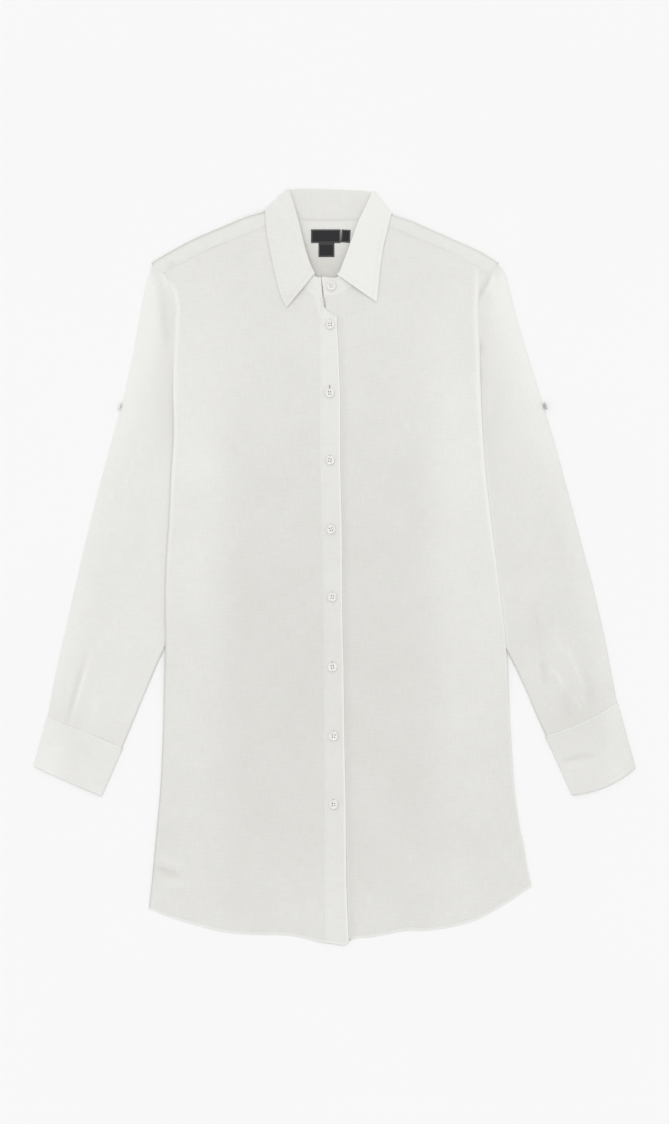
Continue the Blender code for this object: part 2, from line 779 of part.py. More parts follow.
def outs_of(points, side):
    """The plan direction square to an edge at each of its points, to the right of the way down it."""
    ahead = np.gradient(points, axis=0)
    return np.array([unit(turned_left(step)) for step in ahead]) * side


def bow(share, deep):
    return deep * 4 * share * (1 - share)


def sleeve_edges(side, rows):
    """A sleeve's outer and inner silhouettes, at a number of rows from the armhole to the cuff."""
    sleeve = SLEEVES[side]
    count = len(sleeve["outer_x"])
    places = np.linspace(0, count - 1, rows)
    spots = {key: smooth(places, np.arange(count), values) for key, values in sleeve.items()}
    outer = np.stack([spots["outer_x"], spots["outer_y"]], axis=1)
    inner = np.stack([spots["inner_x"], spots["inner_y"]], axis=1)
    return outer, inner


def make_sleeve(name, side):
    half = SEAM / 2
    outer, inner = sleeve_edges(side, SLEEVE_ROWS)
    out_outer, out_inner = outs_of(outer, side), outs_of(inner, -side)
    start = outer - out_outer * SLEEVE_THICK / 2
    end = inner - out_inner * SLEEVE_THICK / 2

    # The first row is the armhole, whose upper end bends round along the seam
    high = SHOULDER_TIP - TIP_GAP
    below = high - TIP_STEP
    tip = np.array([side_edge(high, side, SEAM), high])
    below_tip = np.array([side_edge(below, side, SEAM), below])
    armpit = np.array([side_edge(inner[0, 1], side, half), inner[0, 1]])
    start[0], end[0], out_outer[0] = tip, armpit, unit(tip - below_tip)
    out_inner[0] = unit(out_inner[0] + unit(end[1] - armpit))

    def row(index):
        near_hole = max(1 - index / ARMHOLE_FADE_ROWS, 0) ** 2
        near_cuff = max(1 - (SLEEVE_ROWS - 1 - index) / BOW_ROWS, 0) ** 2
        away = turned_left(unit(end[index] - start[index])) * side

        def bend(share):
            x, y = tip + share * (armpit - tip)
            bulge = np.array([side_edge(y, side, half) - x, 0.0])
            under = UNDERARM_BOW * math.sin(math.pi * math.sqrt(min(index / UNDERARM_ROWS, 1)))
            deep = share * bow(share, under) + bow(share, CUFF_BOWS[side][0] * near_cuff)
            return bulge * near_hole + away * deep

        return ring(start[index], end[index], SLEEVE_THICK, out_outer[index], out_inner[index], bend)

    return sheet(name, [row(index) for index in range(SLEEVE_ROWS)], closed=True)


def make_cuff(name, side):
    outer, inner = sleeve_edges(side, SLEEVE_ROWS)
    hem_outer, hem_inner = (np.array(end) for end in CUFF_HEMS[side])
    across = unit(inner[-1] - outer[-1])
    away = turned_left(across) * side

    def row(place):
        first = outer[-1] - CUFF_OVER * across
        last = inner[-1] + CUFF_OVER * across
        start = first + place * (hem_outer - first) + CUFF_THICK / 2 * across
        end = last + place * (hem_inner - last) - CUFF_THICK / 2 * across
        deep = np.interp(place, (0, 1), CUFF_BOWS[side])
        gap = SEAM * (1 - place)
        return ring(start, end, CUFF_THICK, -across, across, lambda share: away * (bow(share, deep) + gap))

    return sheet(name, [row(place) for place in CUFF_ROWS], closed=True)


def make_button(name, centre, axis, wide, thick):
    """A round button with a softened rim, standing on its axis."""
    bm = bmesh.new()
    bmesh.ops.create_cone(
        bm, cap_ends=True, segments=BUTTON_SIDES, radius1=wide / 2 * MM, radius2=wide / 2 * MM, depth=thick * MM
    )
    mesh = bpy.data.meshes.new(name)
    bm.to_mesh(mesh)
    bm.free()
    made = new_object(name, mesh, colour=SHELL, roughness=0.25)
    made.location = centre * MM
    made.rotation_mode = "QUATERNION"
    made.rotation_quaternion = Vector((0, 0, 1)).rotation_difference(Vector(axis))
    rim = made.modifiers.new("rim", "BEVEL")
    rim.width = BUTTON_RIM * MM
    rim.segments = 1
    rim.limit_method = "ANGLE"
    return made


def make_front_buttons():
    up = np.array([0.0, 0.0, 1.0])
    for index, (y, offset) in enumerate(zip(BUTTONS["height"], BUTTONS["from_seam"])):
        x = placket_line(y, "seam") + offset
        top = on_layer(x, y, 2)[2] + WALL / 2
        centre = np.array([x, y, top + SEAM + BUTTON_THICK / 2])
        make_button(f"button_{index + 1}", centre, up, BUTTON_WIDE, BUTTON_THICK)


def make_collar_button(sections):
    """The button on the stand's right end, square to the cloth below it."""
    end = sections[-1]
    slope = unit((end["fold"] - end["seam"]) * (0, 1, 1))
    normal = np.array([0.0, -slope[2], slope[1]])
    x, y = COLLAR_BUTTON
    share = (y - end["seam"][1]) / (end["fold"][1] - end["seam"][1])
    middle = end["seam"][2] + share * (end["fold"][2] - end["seam"][2]) + FOLD
    lift = WALL / 2 + 3 * SEAM + BUTTON_THICK / 2
    centre = np.array([x, y, middle]) + lift * normal
    make_button("button_collar", centre, normal, BUTTON_WIDE, BUTTON_THICK)


def make_tab_button(name, side):
    """A sleeve tab's button, on edge against the outer fold of the sleeve."""
    sleeve = SLEEVES[side]
    y = TAB_BUTTON_HEIGHT
    x = smooth(y, sleeve["outer_y"], sleeve["outer_x"])
    above = smooth(y + TAB_SLOPE_STEP, sleeve["outer_y"], sleeve["outer_x"])
    out = turned_left(unit(np.array([above - x, TAB_SLOPE_STEP]))) * -side
    away = 2 * SEAM + BUTTON_THICK / 2
    centre = np.array([x, y, TAB_BUTTON_WIDE / 2 + SEAM]) + away * np.array([*out, 0.0])
    make_button(name, centre, np.array([*out, 0.0]), TAB_BUTTON_WIDE, BUTTON_THICK)


def make_label(name, left, low, right, high, slant):
    """A woven label on the yoke's inner face, following it."""
    middle = np.array([left + right, low + high]) / 2
    turn = math.radians(slant)
    across, along = np.array([math.cos(turn), math.sin(turn)]), np.array([-math.sin(turn), math.cos(turn)])
    rise = (WALL + LABEL_THICK) / 2 + SEAM
    points = []
    for v in np.linspace(-0.5, 0.5, LABEL_ROWS):
        row = []
        for u in np.linspace(-0.5, 0.5, LABEL_ROWS):
            x, y = middle + u * (right - left) * across + v * (high - low) * along
            row.append(on_layer(x, y, 0) + (0, 0, rise))
        points.append(row)
    return sheet(name, points, wall=LABEL_THICK, colour=INK, roughness=0.7)


def clear_scene():
    for old in list(bpy.data.objects):
        bpy.data.objects.remove(old, do_unlink=True)
    group = bpy.data.collections.new("shirt_dress")
    bpy.context.scene.collection.children.link(group)


def main():
    clear_scene()
    sections = collar_sections()
    make_back()
    make_yoke()
    make_front("front_left", -1)
    make_front("front_right", 1)
    make_button_band()
    make_placket()
    make_stand(sections)
    make_leaf(sections[FRONT_SAMPLES:-FRONT_SAMPLES])
    for side, word in ((-1, "left"), (1, "right")):
        make_sleeve(f"sleeve_{word}", side)
        make_cuff(f"cuff_{word}", side)
        make_tab_button(f"button_sleeve_{word}", side)
    make_front_buttons()
    make_collar_button(sections)
    for name, place in LABELS.items():
        make_label(name, *place)


main()
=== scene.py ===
"""The look of the laid-out linen shirt dress: thin cloth on the forms of its solids, real
folds, hems, stitches, buttons and labels, a pale floor, soft light and a camera overhead.

Tables and named sizes are in millimetres in the frame of the model, and meshes are in metres.
Left and right are those of someone looking at the dress.
"""

import math

import bpy
import numpy as np
from mathutils import Matrix, Vector, noise
from mathutils.bvhtree import BVHTree


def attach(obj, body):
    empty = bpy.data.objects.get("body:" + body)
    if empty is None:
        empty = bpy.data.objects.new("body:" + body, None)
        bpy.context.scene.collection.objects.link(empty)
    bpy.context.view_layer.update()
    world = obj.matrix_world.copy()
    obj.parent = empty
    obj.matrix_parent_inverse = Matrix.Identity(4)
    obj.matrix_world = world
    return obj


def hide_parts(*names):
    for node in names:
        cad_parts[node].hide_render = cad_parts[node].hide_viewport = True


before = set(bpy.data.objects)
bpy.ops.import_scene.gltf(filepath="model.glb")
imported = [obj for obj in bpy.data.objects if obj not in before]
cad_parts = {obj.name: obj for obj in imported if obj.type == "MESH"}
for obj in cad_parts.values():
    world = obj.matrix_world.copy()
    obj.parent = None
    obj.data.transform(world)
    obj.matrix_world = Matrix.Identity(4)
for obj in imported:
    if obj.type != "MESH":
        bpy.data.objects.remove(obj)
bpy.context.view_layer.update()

MM = 0.001

# The solids' walls and layers, which the thin cloth keeps to the middle of
SOLID_WALL = 1.2
SEAM = 0.3
LAYER = SOLID_WALL + SEAM
LOWEST = SOLID_WALL / 2
FOLD = LAYER / 2
SLEEVE_THICK = 2.6
CUFF_THICK = 3.3

# The cloth itself: one layer, a hem or a folded strip, the stiffened collar and cuffs, and the
# yoke's two layers pressed
CLOTH = 0.55
DOUBLE = 1.05
STIFF = 1.15
YOKE_THICK = CLOTH * 1.4

# How finely the cloth is cut up
NECK_STEPS = 8
BACK_NECK_STEPS = 6
TURN_STEPS = 12
BODY_STEPS = 190
TOP_STEPS = 26
YOKE_STEPS = 36
STRIP_STEPS = 10
STAND_ROWS = 10
LEAF_STEPS = 26
SLEEVE_TOP = 66
SLEEVE_UNDER = 34
SLEEVE_FINER = 9
END_STEPS = 8

# How high the tucked sleeves lift the sides, and between which places that lift and the one
# that the hidden half of the collar gives the yoke fade away
TUCK_LIFT = 2.5
TUCK_RAMP = (9.0, 99.0)
TUCK_TOP = (205.0, 285.0)
TUCK_FOOT = (-205.0, -110.0)
NECK_RAMP = (12.0, 48.0)

# The body's rows and its columns from the side to the neck, close together at the side seam
BODY_TOP = 318.0
BACK_HEM_RISE = 3.0
BACK_TOP_ROWS = (325.0, 332.0)
BACK_MIDDLE_COLUMNS = 6
YOKE_SEAM = 339.5
NECK_COLUMN = 0.71
SIDE_COLUMNS = np.array([0, 0.003, 0.008, 0.015, 0.024, 0.036, *np.linspace(0.05, NECK_COLUMN, 42)])
FOOT_ROUNDS = 6
OUTLINE_STEP = 8.0

# Rows near a hem, by their distance from it: its fold is as deep as the stitched line
HEM_ROWS = (0.0, 0.7, 2.4, 4.2, 5.0, 5.7, 6.4, 8.0, 11.0)
HEM_STITCH = 5.0
HEM_STITCH_ROW = HEM_ROWS.index(HEM_STITCH)
HEM_DEEP = 6.0
HEM_DROP = 1.5
HEM_BEND = 4.5
REST = 0.12

# Buttons: sizes, places, the turns of three about their own axes in radians, and how far up a
# sleeve its slope is measured, which its tab button stands square to
BUTTON_WIDE = 11.5
BUTTON_THICK = 2.2
TAB_BUTTON_WIDE = 9.0
TAB_BUTTON_HEIGHT = 195.0
TAB_BUTTON_TURN = 0.2
TAB_SLOPE_STEP = 10.0
COLLAR_BUTTON = (-3.8, 342.5)
COLLAR_BUTTON_TURN = 0.3

# How far stitches lie from a seam and from the leaf's edge, how far the yoke's strip reaches past
# its seam, and the shares of that seam, and their number, that its stitches follow
SEAM_STITCH = 1.6
LEAF_STITCH = 5.0
YOKE_LAP = 0.5
YOKE_SEWN = (0.01, 0.9, 60)


def table(names, rows):
    """{column name: its numbers}, from a string of names and a tuple of rows."""
    return {name: np.array(column, float) for name, column in zip(names.split(), zip(*rows))}


# The body's outline: its sides, and above the armpits its armholes up to the shoulder tips
EDGES = table("height left right", (
    (-420, -226.6, 249),
    (-380, -222.3, 237.6),
    (-342, -218.7, 230.6),
    (-312, -216, 224.6),
    (-283, -213.3, 220.5),
    (-206, -209.4, 214.9),
    (-151, -207.8, 211.5),
    (-92, -206.3, 208.7),
    (-58, -207, 205.1),
    (16, -205, 195.9),
    (54, -202.4, 191.2),
    (115, -199.6, 184.3),
    (160, -196.5, 180.9),
    (215, -196.8, 178.3),
    (260, -195.6, 177.6),
    (296, -193.4, 176.2),
    (325, -193.8, 176.2),
    (342, -199.2, 178.4),
    (357, -208.4, 186),
    (371.2, -224, 200.6),
))  # fmt: skip
SHOULDER_TIP = 370.0

# The shirt-tail hem, deepest at the placket
HEM = table("across height", (
    (-228, -417.5),
    (-205, -426.7),
    (-173, -436.5),
    (-133, -446.5),
    (-96, -449.3),
    (-48, -451.5),
    (-27, -456.5),
    (-1.5, -460.2),
    (13, -461.5),
    (20, -456.6),
    (45, -452.3),
    (66, -448.2),
    (84, -444.8),
    (114, -443.8),
    (142, -440),
    (177, -429.4),
    (191, -421.8),
    (217, -406.3),
    (240, -391.5),
    (252, -385),
))  # fmt: skip

# The buttonhole placket's sewn and free edges; above the first button it falls open to the left
PLACKET = table("height seam edge", (
    (-462, -10.4, 17),
    (-381, -12.2, 13.9),
    (-290, -12.2, 13.4),
    (-205, -12.3, 11.7),
    (-123, -12.9, 10.8),
    (-63, -13.4, 9.3),
    (42, -15.6, 8.8),
    (130, -17.3, 6.7),
    (211, -17.2, 6.7),
    (270, -17.3, 4.3),
    (288, -17.8, 2.9),
    (304.5, -19.5, 2.6),
    (310.5, -20.6, -8),
    (317, -21.8, -13.4),
    (331, -25, -14.8),
))  # fmt: skip
PLACKET_DROP = (312.0, 329.0)
PLACKET_SLOPE = 22.0

# The button band's free edge, hidden below the neck, and the edge sewn to the right front
BAND = table("height free sewn", (
    (-462, -8.4, 19.6),
    (-290, -10.2, 16.1),
    (-63, -11.4, 11.9),
    (130, -15.3, 9.4),
    (211, -15.2, 9.4),
    (270, -15, 6.9),
    (304.5, -12.4, 5.6),
    (317, -10.5, 5.6),
    (332, -11.8, 6),
))  # fmt: skip

# Front buttons: height, distance from the placket's seam, how far the buttonhole's top end
# lies above the button's middle, and the turn of its four holes in degrees
BUTTONS = table("height from_seam above turn", (
    (295, 13.2, 6.4, 8),
    (211.4, 11.3, 10.4, 2),
    (129.4, 11.7, 6.6, -12),
    (45.1, 11.4, 6.2, 14),
    (-37.5, 11.1, 6.8, -6),
    (-122.9, 10.4, 7.4, 10),
    (-207.1, 11.3, 6.5, -9),
    (-290.7, 11.1, 6.9, 5),
))  # fmt: skip

# The middle of each shoulder's fold, from the neck to the tip, and the forward seam below it
SHOULDERS = {
    -1: table("across height", (
        (-82.6, 434.4),
        (-84.6, 432.6),
        (-92, 430),
        (-103, 427),
        (-136, 413.8),
        (-170, 399.2),
        (-198, 384.5),
        (-223.2, 370),
    )),
    1: table("across height", (
        (67.2, 430.7),
        (68.8, 428.7),
        (75.5, 426.2),
        (91.4, 421.2),
        (125.5, 406.6),
        (158.5, 392),
        (176, 384.2),
        (199.8, 370),
    )),
}  # fmt: skip
FORWARD_SEAMS = {
    -1: table("across height", (
        (-76.7, 419.6),
        (-119.1, 402.2),
        (-165.4, 383),
        (-210, 359),
    )),
    1: table("across height", (
        (60.7, 418.2),
        (95, 404),
        (140, 385.5),
        (187, 359),
    )),
}  # fmt: skip

# The sleeves: outer and inner end of each row, from the armhole to the cuff seam
SLEEVES = {
    -1: table("outer_x outer_y inner_x inner_y", (
        (-224, 371.2, -195.9, 164),
        (-234, 327, -193.5, 142),
        (-243.7, 270, -186.5, 118.5),
        (-256.5, 211, -176, 95),
        (-271, 157, -165.5, 71),
        (-285, 105, -162, 40),
        (-300.5, 44, -174, -8),
        (-315, -18, -192.5, -66),
        (-329, -80, -218.9, -125.4),
        (-341, -133, -239.6, -175),
        (-350.6, -184.6, -259.4, -222),
    )),
    1: table("outer_x outer_y inner_x inner_y", (
        (200.6, 371.2, 180.8, 156.5),
        (210, 354, 180.2, 147),
        (216, 327, 178.7, 134),
        (232.3, 270, 172, 110.5),
        (249.5, 214, 163, 87),
        (266.8, 158, 157, 62),
        (281.3, 105, 156, 33),
        (297.5, 44, 170, -12),
        (314, -18, 192, -68),
        (328.5, -80, 221.7, -125),
        (338.5, -132, 242.5, -173),
        (345.2, -167.2, 257.9, -207.3),
    )),
}  # fmt: skip
SLEEVE_ROWS = 15
ARMHOLE_FADE_ROWS = 4.0
TIP_GAP = 1.5
UNDERARM_BOW = 14.0
UNDERARM_ROWS = 8

# The cuffs: the ends of their hems, how far a cuff reaches past the sleeve at either end, and
# how far its seam and its hem bow outwards
CUFF_HEMS = {-1: ((-367.4, -243.6), (-284.0, -280.4)), 1: ((367.4, -245.8), (289.8, -279.3))}
CUFF_OVER = 0.9
CUFF_BOWS = {-1: (0.0, 0.5), 1: (3.6, 6.5)}
BOW_ROWS = 2.0
CUFF_ROWS = (0, 0.03, 0.06, 0.1, *np.linspace(0.16, 0.84, 13), 0.9, 0.925, 0.96, 1)
CUFF_SEWN = (1, CUFF_ROWS.index(0.925))

# How high above its lowest side a sleeve's upper side begins
UPPER_SIDE = 1.2

# The collar, section by section from its left end round the back of the neck to its right end:
# the neck seam, the fold at the top, the leaf's edge, the fold's height, and how much of the
# leaf lies inside the fold. The first and last rows are the stand's ends, past the leaf.
COLLAR_COLUMNS = "seam_x seam_y fold_x fold_y edge_x edge_y rise roll"
COLLAR_LEFT = table(COLLAR_COLUMNS, (
    (-15, 328, -16.6, 352, -58.7, 315.7, 3.8, 0),
    (-25, 331, -24.2, 358.6, -58.7, 315.7, 4.8, 4.2),
    (-50, 350, -30.8, 373, -66.5, 334, 6, 3.2),
    (-64, 384, -37.6, 396, -74, 364, 6.6, 3.2),
    (-71.3, 407, -43.4, 421, -79.5, 391, 6, 4),
    (-76.7, 419.6, -48.8, 440, -83, 412, 4.6, 5.4),
    (-82.6, 434.4, -54.9, 459.5, -84.6, 432.6, 2.85, 7.2),
))  # fmt: skip
COLLAR_BACK = table(COLLAR_COLUMNS, (
    (-82.6, 434.4, -54.9, 459.5, -84.6, 432.6, 2.85, 7.2),
    (-62, 427.4, -44.5, 461, -66, 420.2, 2.85, 7.2),
    (-36, 424, -29, 461.2, -36, 418.3, 2.85, 7.2),
    (-6.5, 423.2, -6.5, 460.6, -6.5, 418, 2.85, 7.2),
    (22, 424, 18, 459.8, 22, 418.2, 2.85, 7.2),
    (48, 426.6, 36.5, 458.6, 51, 419.8, 2.85, 7.2),
    (67.2, 430.7, 45.9, 457.2, 68.8, 428.7, 2.85, 6),
))  # fmt: skip
COLLAR_RIGHT = table(COLLAR_COLUMNS, (
    (67.2, 430.7, 45.9, 457.2, 68.8, 428.7, 2.85, 6),
    (60.7, 418.2, 38.3, 440, 65, 413, 4.6, 4.8),
    (56.5, 406, 29.5, 422, 60.3, 394, 6, 3.8),
    (48, 384, 20.5, 398, 56.5, 371, 6.6, 3.2),
    (34, 353, 10.8, 372, 53.6, 345, 6, 3.2),
    (6, 333.6, 3.4, 357, 51.7, 322.4, 4.8, 4.2),
    (-12.9, 330.8, -15.7, 353.2, 51.7, 322.4, 4, 0),
))  # fmt: skip
LEAF_CROWN = 1.2
LEAF_LAP = 0.8
RIM_TURN = 0.3

# Labels below the back of the collar: low and high corner, and slant in degrees
LABELS = {
    "label_main": (-28.4, 394.9, 7.2, 411.0, 0.0),
    "label_fold": (8.4, 395.4, 19.0, 410.6, -4.0),
    "label_size": (-19.3, 377.9, -0.4, 394.3, 0.0),
}

# Creases: the ends of each in plan, its width, how high it stands, and its lean, which makes
# one flank steeper. A negative height is a trough.
CREASE_COLUMNS = "from_x from_y to_x to_y wide high lean"
CREASES = {
    "front_left": table(CREASE_COLUMNS, (
        (-226, -353, -176, -368, 6, 0.8, 0),
        (-228, -365, -182, -384, 4.6, -1.7, 0.5),
        (-219, -382, -172, -392, 6, 0.7, 0),
        (-118, 391, -88, 397, 2.2, -0.5, 0),
        (-117, 383, -92, 388, 2.2, -0.4, 0),
        (-188, 330, -150, 250, 16, 0.5, 0),
        (-60, 230, -110, -40, 28, 0.6, 0),
        (-120, -60, -150, -330, 34, 0.6, 0),
    )),
    "front_right": table(CREASE_COLUMNS, (
        (174, 395, 172.6, 262, 2.6, 1.3, 0),
        (168, 330, 120, 240, 16, 0.4, 0),
        (70, 240, 95, -30, 30, 0.6, 0),
        (150, -80, 178, -340, 34, 0.7, 0),
        (45, -150, 60, -380, 26, 0.5, 0),
    )),
    "placket": table(CREASE_COLUMNS, (
        (-17.2, 340, -14.6, 300, 1.3, -0.9, 0),
        (-20, 318, 8, 286, 5, 0.5, 0),
    )),
    "yoke": table(CREASE_COLUMNS, (
        (-210, 365, -190, 371, 3.6, -0.9, 0),
        (-160, 385, -130, 399, 2.6, 0.4, 0),
    )),
    "sleeve_left": table(CREASE_COLUMNS, (
        (-217, 378, -196, 318, 3, 1.3, 0),
        (-214, 362, -203.5, 250, 5, -1.5, 0),
        (-296, -98, -326.5, -202, 3.8, 1.1, 0.8),
        (-300, -92, -331, -208, 3.2, -1.3, 0),
        (-284, -150, -303, -204, 5, 0.6, 0.5),
        (-232, 200, -292, -60, 16, 0.8, 0),
        (-232, 330, -262, 190, 12, -0.5, 0),
        (-196, 130, -236, -40, 14, 0.6, 0),
    )),
    "sleeve_right": table(CREASE_COLUMNS, (
        (264, -122, 285, -156, 2.6, 1.2, 0.5),
        (280, -146, 289, -196, 7, -1.2, 0),
        (290, -154, 304, -178, 1.9, 0.7, 0),
        (297, -153, 311, -173, 1.9, 0.6, 0),
        (254, -106, 258, -154, 4, -0.9, 0),
        (262, -70, 282, -118, 6, 0.7, 0.3),
        (277, -84, 308, -158, 2.6, 0.9, 0.5),
        (304, -108, 320, -182, 6, -0.9, 0),
        (242, -36, 253, -112, 6, -0.7, 0),
        (193.2, 364, 194.5, 322, 2.8, 1, 0.3),
        (194, 362, 173.5, 322, 3, -2, 0),
        (200, 366, 179, 318, 2.4, 1, 0),
        (178.5, 282, 179.5, 252, 3.6, -0.9, 0),
        (205, 300, 262, 60, 16, 0.8, 0),
        (196, 250, 214, 130, 10, -0.5, 0),
    )),
    "cuff_left": table(CREASE_COLUMNS, (
        (-291, -206, -267, -223, 5, 0.9, 0.4),
        (-320, -205, -291, -245, 7, -0.8, 0),
        (-344, -216, -330, -232, 8, 0.4, 0),
    )),
    "cuff_right": table(CREASE_COLUMNS, (
        (270, -240, 326, -230, 3.6, -1.1, 0.5),
        (266, -247, 326, -237, 4, 0.5, 0),
        (318, -212, 340, -222, 8, -0.5, 0),
    )),
    "back": table(CREASE_COLUMNS, (
        (-120, 300, -90, -60, 22, 0.4, 0),
        (95, 280, 120, -90, 22, 0.4, 0),
        (10, 60, -20, -330, 26, 0.4, 0),
        (-170, -180, -150, -390, 18, 0.35, 0),
    )),
}  # fmt: skip

# The soft ridge along each armhole: how far in it lies, its width, where it fades at either end,
# how high it stands and how much painted highlight it gets
ARMHOLE_RIDGES = {
    -1: {"inward": 1.6, "wide": 2.6, "top": (338, 352), "foot": (185, 245), "high": 0.9, "light": 0.34},
    1: {"inward": 3.2, "wide": 2.4, "top": (332, 346), "foot": (185, 245), "high": 0.6, "light": 0.3},
}

# How near a crease may come to the layer beneath, how much light and shade creases paint into the tone, and
# their ends
CLEAR = 0.1
CREASE_LIGHT = 0.2
CREASE_SHARP = 4.0
CREASE_END = 0.45
CREASE_LEAN = 3.0


def ease(t):
    """0 to 1 with level ends."""
    t = np.clip(t, 0, 1)
    return t * t * (3 - 2 * t)


def rising(at, ends):
    """0 up to the first of two ends and 1 past the second, eased between them."""
    return ease((at - ends[0]) / (ends[1] - ends[0]))


def falling(at, ends):
    """1 up to the first of two ends and 0 past the second, eased between them."""
    return 1 - rising(at, ends)


def hump(distance, wide):
    """1 at no distance, fading to nothing past about two widths."""
    return np.exp(-((distance / wide) ** 2))


def smooth(at, places, values):
    """The value at a place, on a smooth curve through values at other places."""
    places, values = np.asarray(places, float), np.asarray(values, float)
    if places[0] > places[-1]:
        places, values = places[::-1], values[::-1]
    at = np.clip(at, places[0], places[-1])
    i = np.clip(np.searchsorted(places, at) - 1, 0, len(places) - 2)
    slopes = np.gradient(values, places, axis=0)
    gap = (places[i + 1] - places[i]).reshape(np.shape(at) + (1,) * (values.ndim - 1))
    t = (at - places[i]).reshape(gap.shape) / gap
    rise = values[i + 1] - values[i]
    square = 3 * rise - (2 * slopes[i] + slopes[i + 1]) * gap
    cube = (slopes[i] + slopes[i + 1]) * gap - 2 * rise
    return values[i] + t * (slopes[i] * gap + t * (square + t * cube))


def looked_up(rows, column, at, by="height"):
    """A table's column at a place, on a smooth curve through its rows."""
    return smooth(at, rows[by], rows[column])


def rows_of(columns, steps):
    """A table resampled on smooth curves, with a number of steps between its rows."""
    old = np.arange(len(next(iter(columns.values()))))
    new = np.linspace(0, old[-1], old[-1] * steps + 1)
    return {name: smooth(new, old, values) for name, values in columns.items()}


def finer(points, steps):
    """A grid with a number of steps between its rows, on smooth curves."""
    old = np.arange(len(points))
    return smooth(np.linspace(0, old[-1], old[-1] * steps + 1), old, points)


def grid(columns):
    """Columns of points as a grid, row by row."""
    return np.array(columns).transpose(1, 0, 2)


def xy(points):
    """The plan coordinates of points."""
    return points[..., 0], points[..., 1]


def unit(v):
    """A vector's direction, at length 1."""
    return v / np.linalg.norm(v)


def units(vectors):
    """Each row's vector at length 1, or none where it has no length."""
    return vectors / np.maximum(np.linalg.norm(vectors, axis=1), 1e-12)[:, None]


def turned_left(v):
    """A plan direction turned a quarter to the left."""
    return np.array([-v[1], v[0]])


def lengths(line):
    """How far along a line each of its points lies."""
    return np.concatenate([[0], np.cumsum(np.linalg.norm(np.diff(line, axis=0), axis=1))])


def side_edge(y, side):
    """The body's outline at a height."""
    return looked_up(EDGES, "left" if side < 0 else "right", y)


def outline_point(y, side):
    """The point of the body's outline at a height."""
    return np.array([side_edge(y, side), y])


def outline_way(y, side):
    """The way up the outline just below a height."""
    return unit(outline_point(y, side) - outline_point(y - OUTLINE_STEP, side))


def armhole_bulge(start, end, steps, side):
    """How far the outline lies sideways from points on the straight line between two ends."""
    points = start + np.reshape(steps, (-1, 1)) * (end - start)
    return side_edge(points[:, 1], side) - points[:, 0]


def ground(x, y):
    """How far the back layer is lifted off the table by what lies hidden below it."""
    lift = 0.0
    for side, sleeve in SLEEVES.items():
        inward = side * (looked_up(sleeve, "inner_x", y, "inner_y") - x)
        over = falling(inward, TUCK_RAMP) * falling(y, TUCK_TOP) * rising(y, TUCK_FOOT)
        lift = np.maximum(lift, TUCK_LIFT * over)
    left, right = COLLAR_BACK["seam_x"][0], COLLAR_BACK["seam_x"][-1]
    beside = np.maximum(np.maximum(left - x, x - right), 0)
    below = np.maximum(COLLAR_BACK["seam_y"][1] - y, 0)
    return lift + LAYER * falling(np.hypot(beside, below), NECK_RAMP)


def on_layer(plan, layer):
    """Plan points put in the middle of a layer: 0 is the back, 1 lies on it, and so on."""
    x, y = xy(np.asarray(plan, float))
    return np.stack([x, y, ground(x, y) + LOWEST + layer * LAYER], axis=-1)


def creased(points, creases, lowest, amount=1.0):
    """A grid with its creases raised or sunk, and the painted light and shade that each adds: lighter on a
    ridge, darker in a trough.

    No crease sinks the cloth below a lowest height, where the layer beneath is.
    """
    points = points.copy()
    before = points[..., 2].copy()
    light = np.zeros(points.shape[:2])
    for values in zip(*creases.values()):
        row = dict(zip(creases, values))
        start = np.array([row["from_x"], row["from_y"]])
        whole = np.array([row["to_x"], row["to_y"]]) - start
        length = np.linalg.norm(whole)
        ahead = whole / length
        offset = points[..., :2] - start
        along = offset @ ahead / length
        beside = offset @ turned_left(ahead) / row["wide"]
        fade = ease(along / CREASE_END) * ease((1 - along) / CREASE_END)
        profile = hump(beside, 1) * (1 + row["lean"] * np.tanh(CREASE_LEAN * beside))
        rise = amount * row["high"] * fade * profile
        points[..., 2] += rise
        light += CREASE_LIGHT * rise * min(1, CREASE_SHARP / row["wide"])
    points[..., 2] = np.maximum(points[..., 2], np.minimum(before, lowest))
    return points, light


def armhole_ridge(points, side):
    """The soft ridge that the seam's hidden allowance makes along an armhole: its height and its painted
    highlight.
    """
    ridge = ARMHOLE_RIDGES[side]
    x, y = xy(points)
    share = hump(side * (side_edge(y, side) - x) - ridge["inward"], ridge["wide"])
    share = share * falling(y, ridge["top"]) * rising(y, ridge["foot"])
    return ridge["high"] * share, ridge["light"] * share


def above_back(points):
    """The height of cloth that lies right on the back layer."""
    return ground(*xy(points)) + LOWEST + CLOTH + CLEAR


def normals_at(points, cells):
    """The unit normal at every point, from the cells round it."""
    a, b, c, d = (points[cells[:, k]] for k in range(4))
    face = np.cross(c - a, d - b)
    normal = np.zeros_like(points)
    for corner in range(4):
        np.add.at(normal, cells[:, corner], face)
    return units(normal)


def arcs(points):
    """Lengths along the threads: across each row from the middle column, and down that column."""
    across = np.linalg.norm(np.diff(points, axis=1), axis=2)
    u = np.concatenate([np.zeros((len(points), 1)), np.cumsum(across, axis=1)], axis=1)
    middle = points.shape[1] // 2
    u = u - u[:, middle : middle + 1]
    v = lengths(points[:, middle])
    return np.stack([u, np.broadcast_to(v[:, None], u.shape)], axis=-1)


def grid_cells(rows, columns, closed, keep):
    """The cells of a grid of points, those that keep(row, column) allows."""
    index = np.arange(rows * columns).reshape(rows, columns)
    if closed:
        index[:, -1] = index[:, 0]
    return np.array([
        (index[r, c], index[r, c + 1], index[r + 1, c + 1], index[r + 1, c])
        for r in range(rows - 1)
        for c in range(columns - 1)
        if keep is None or keep(r, c)
    ])


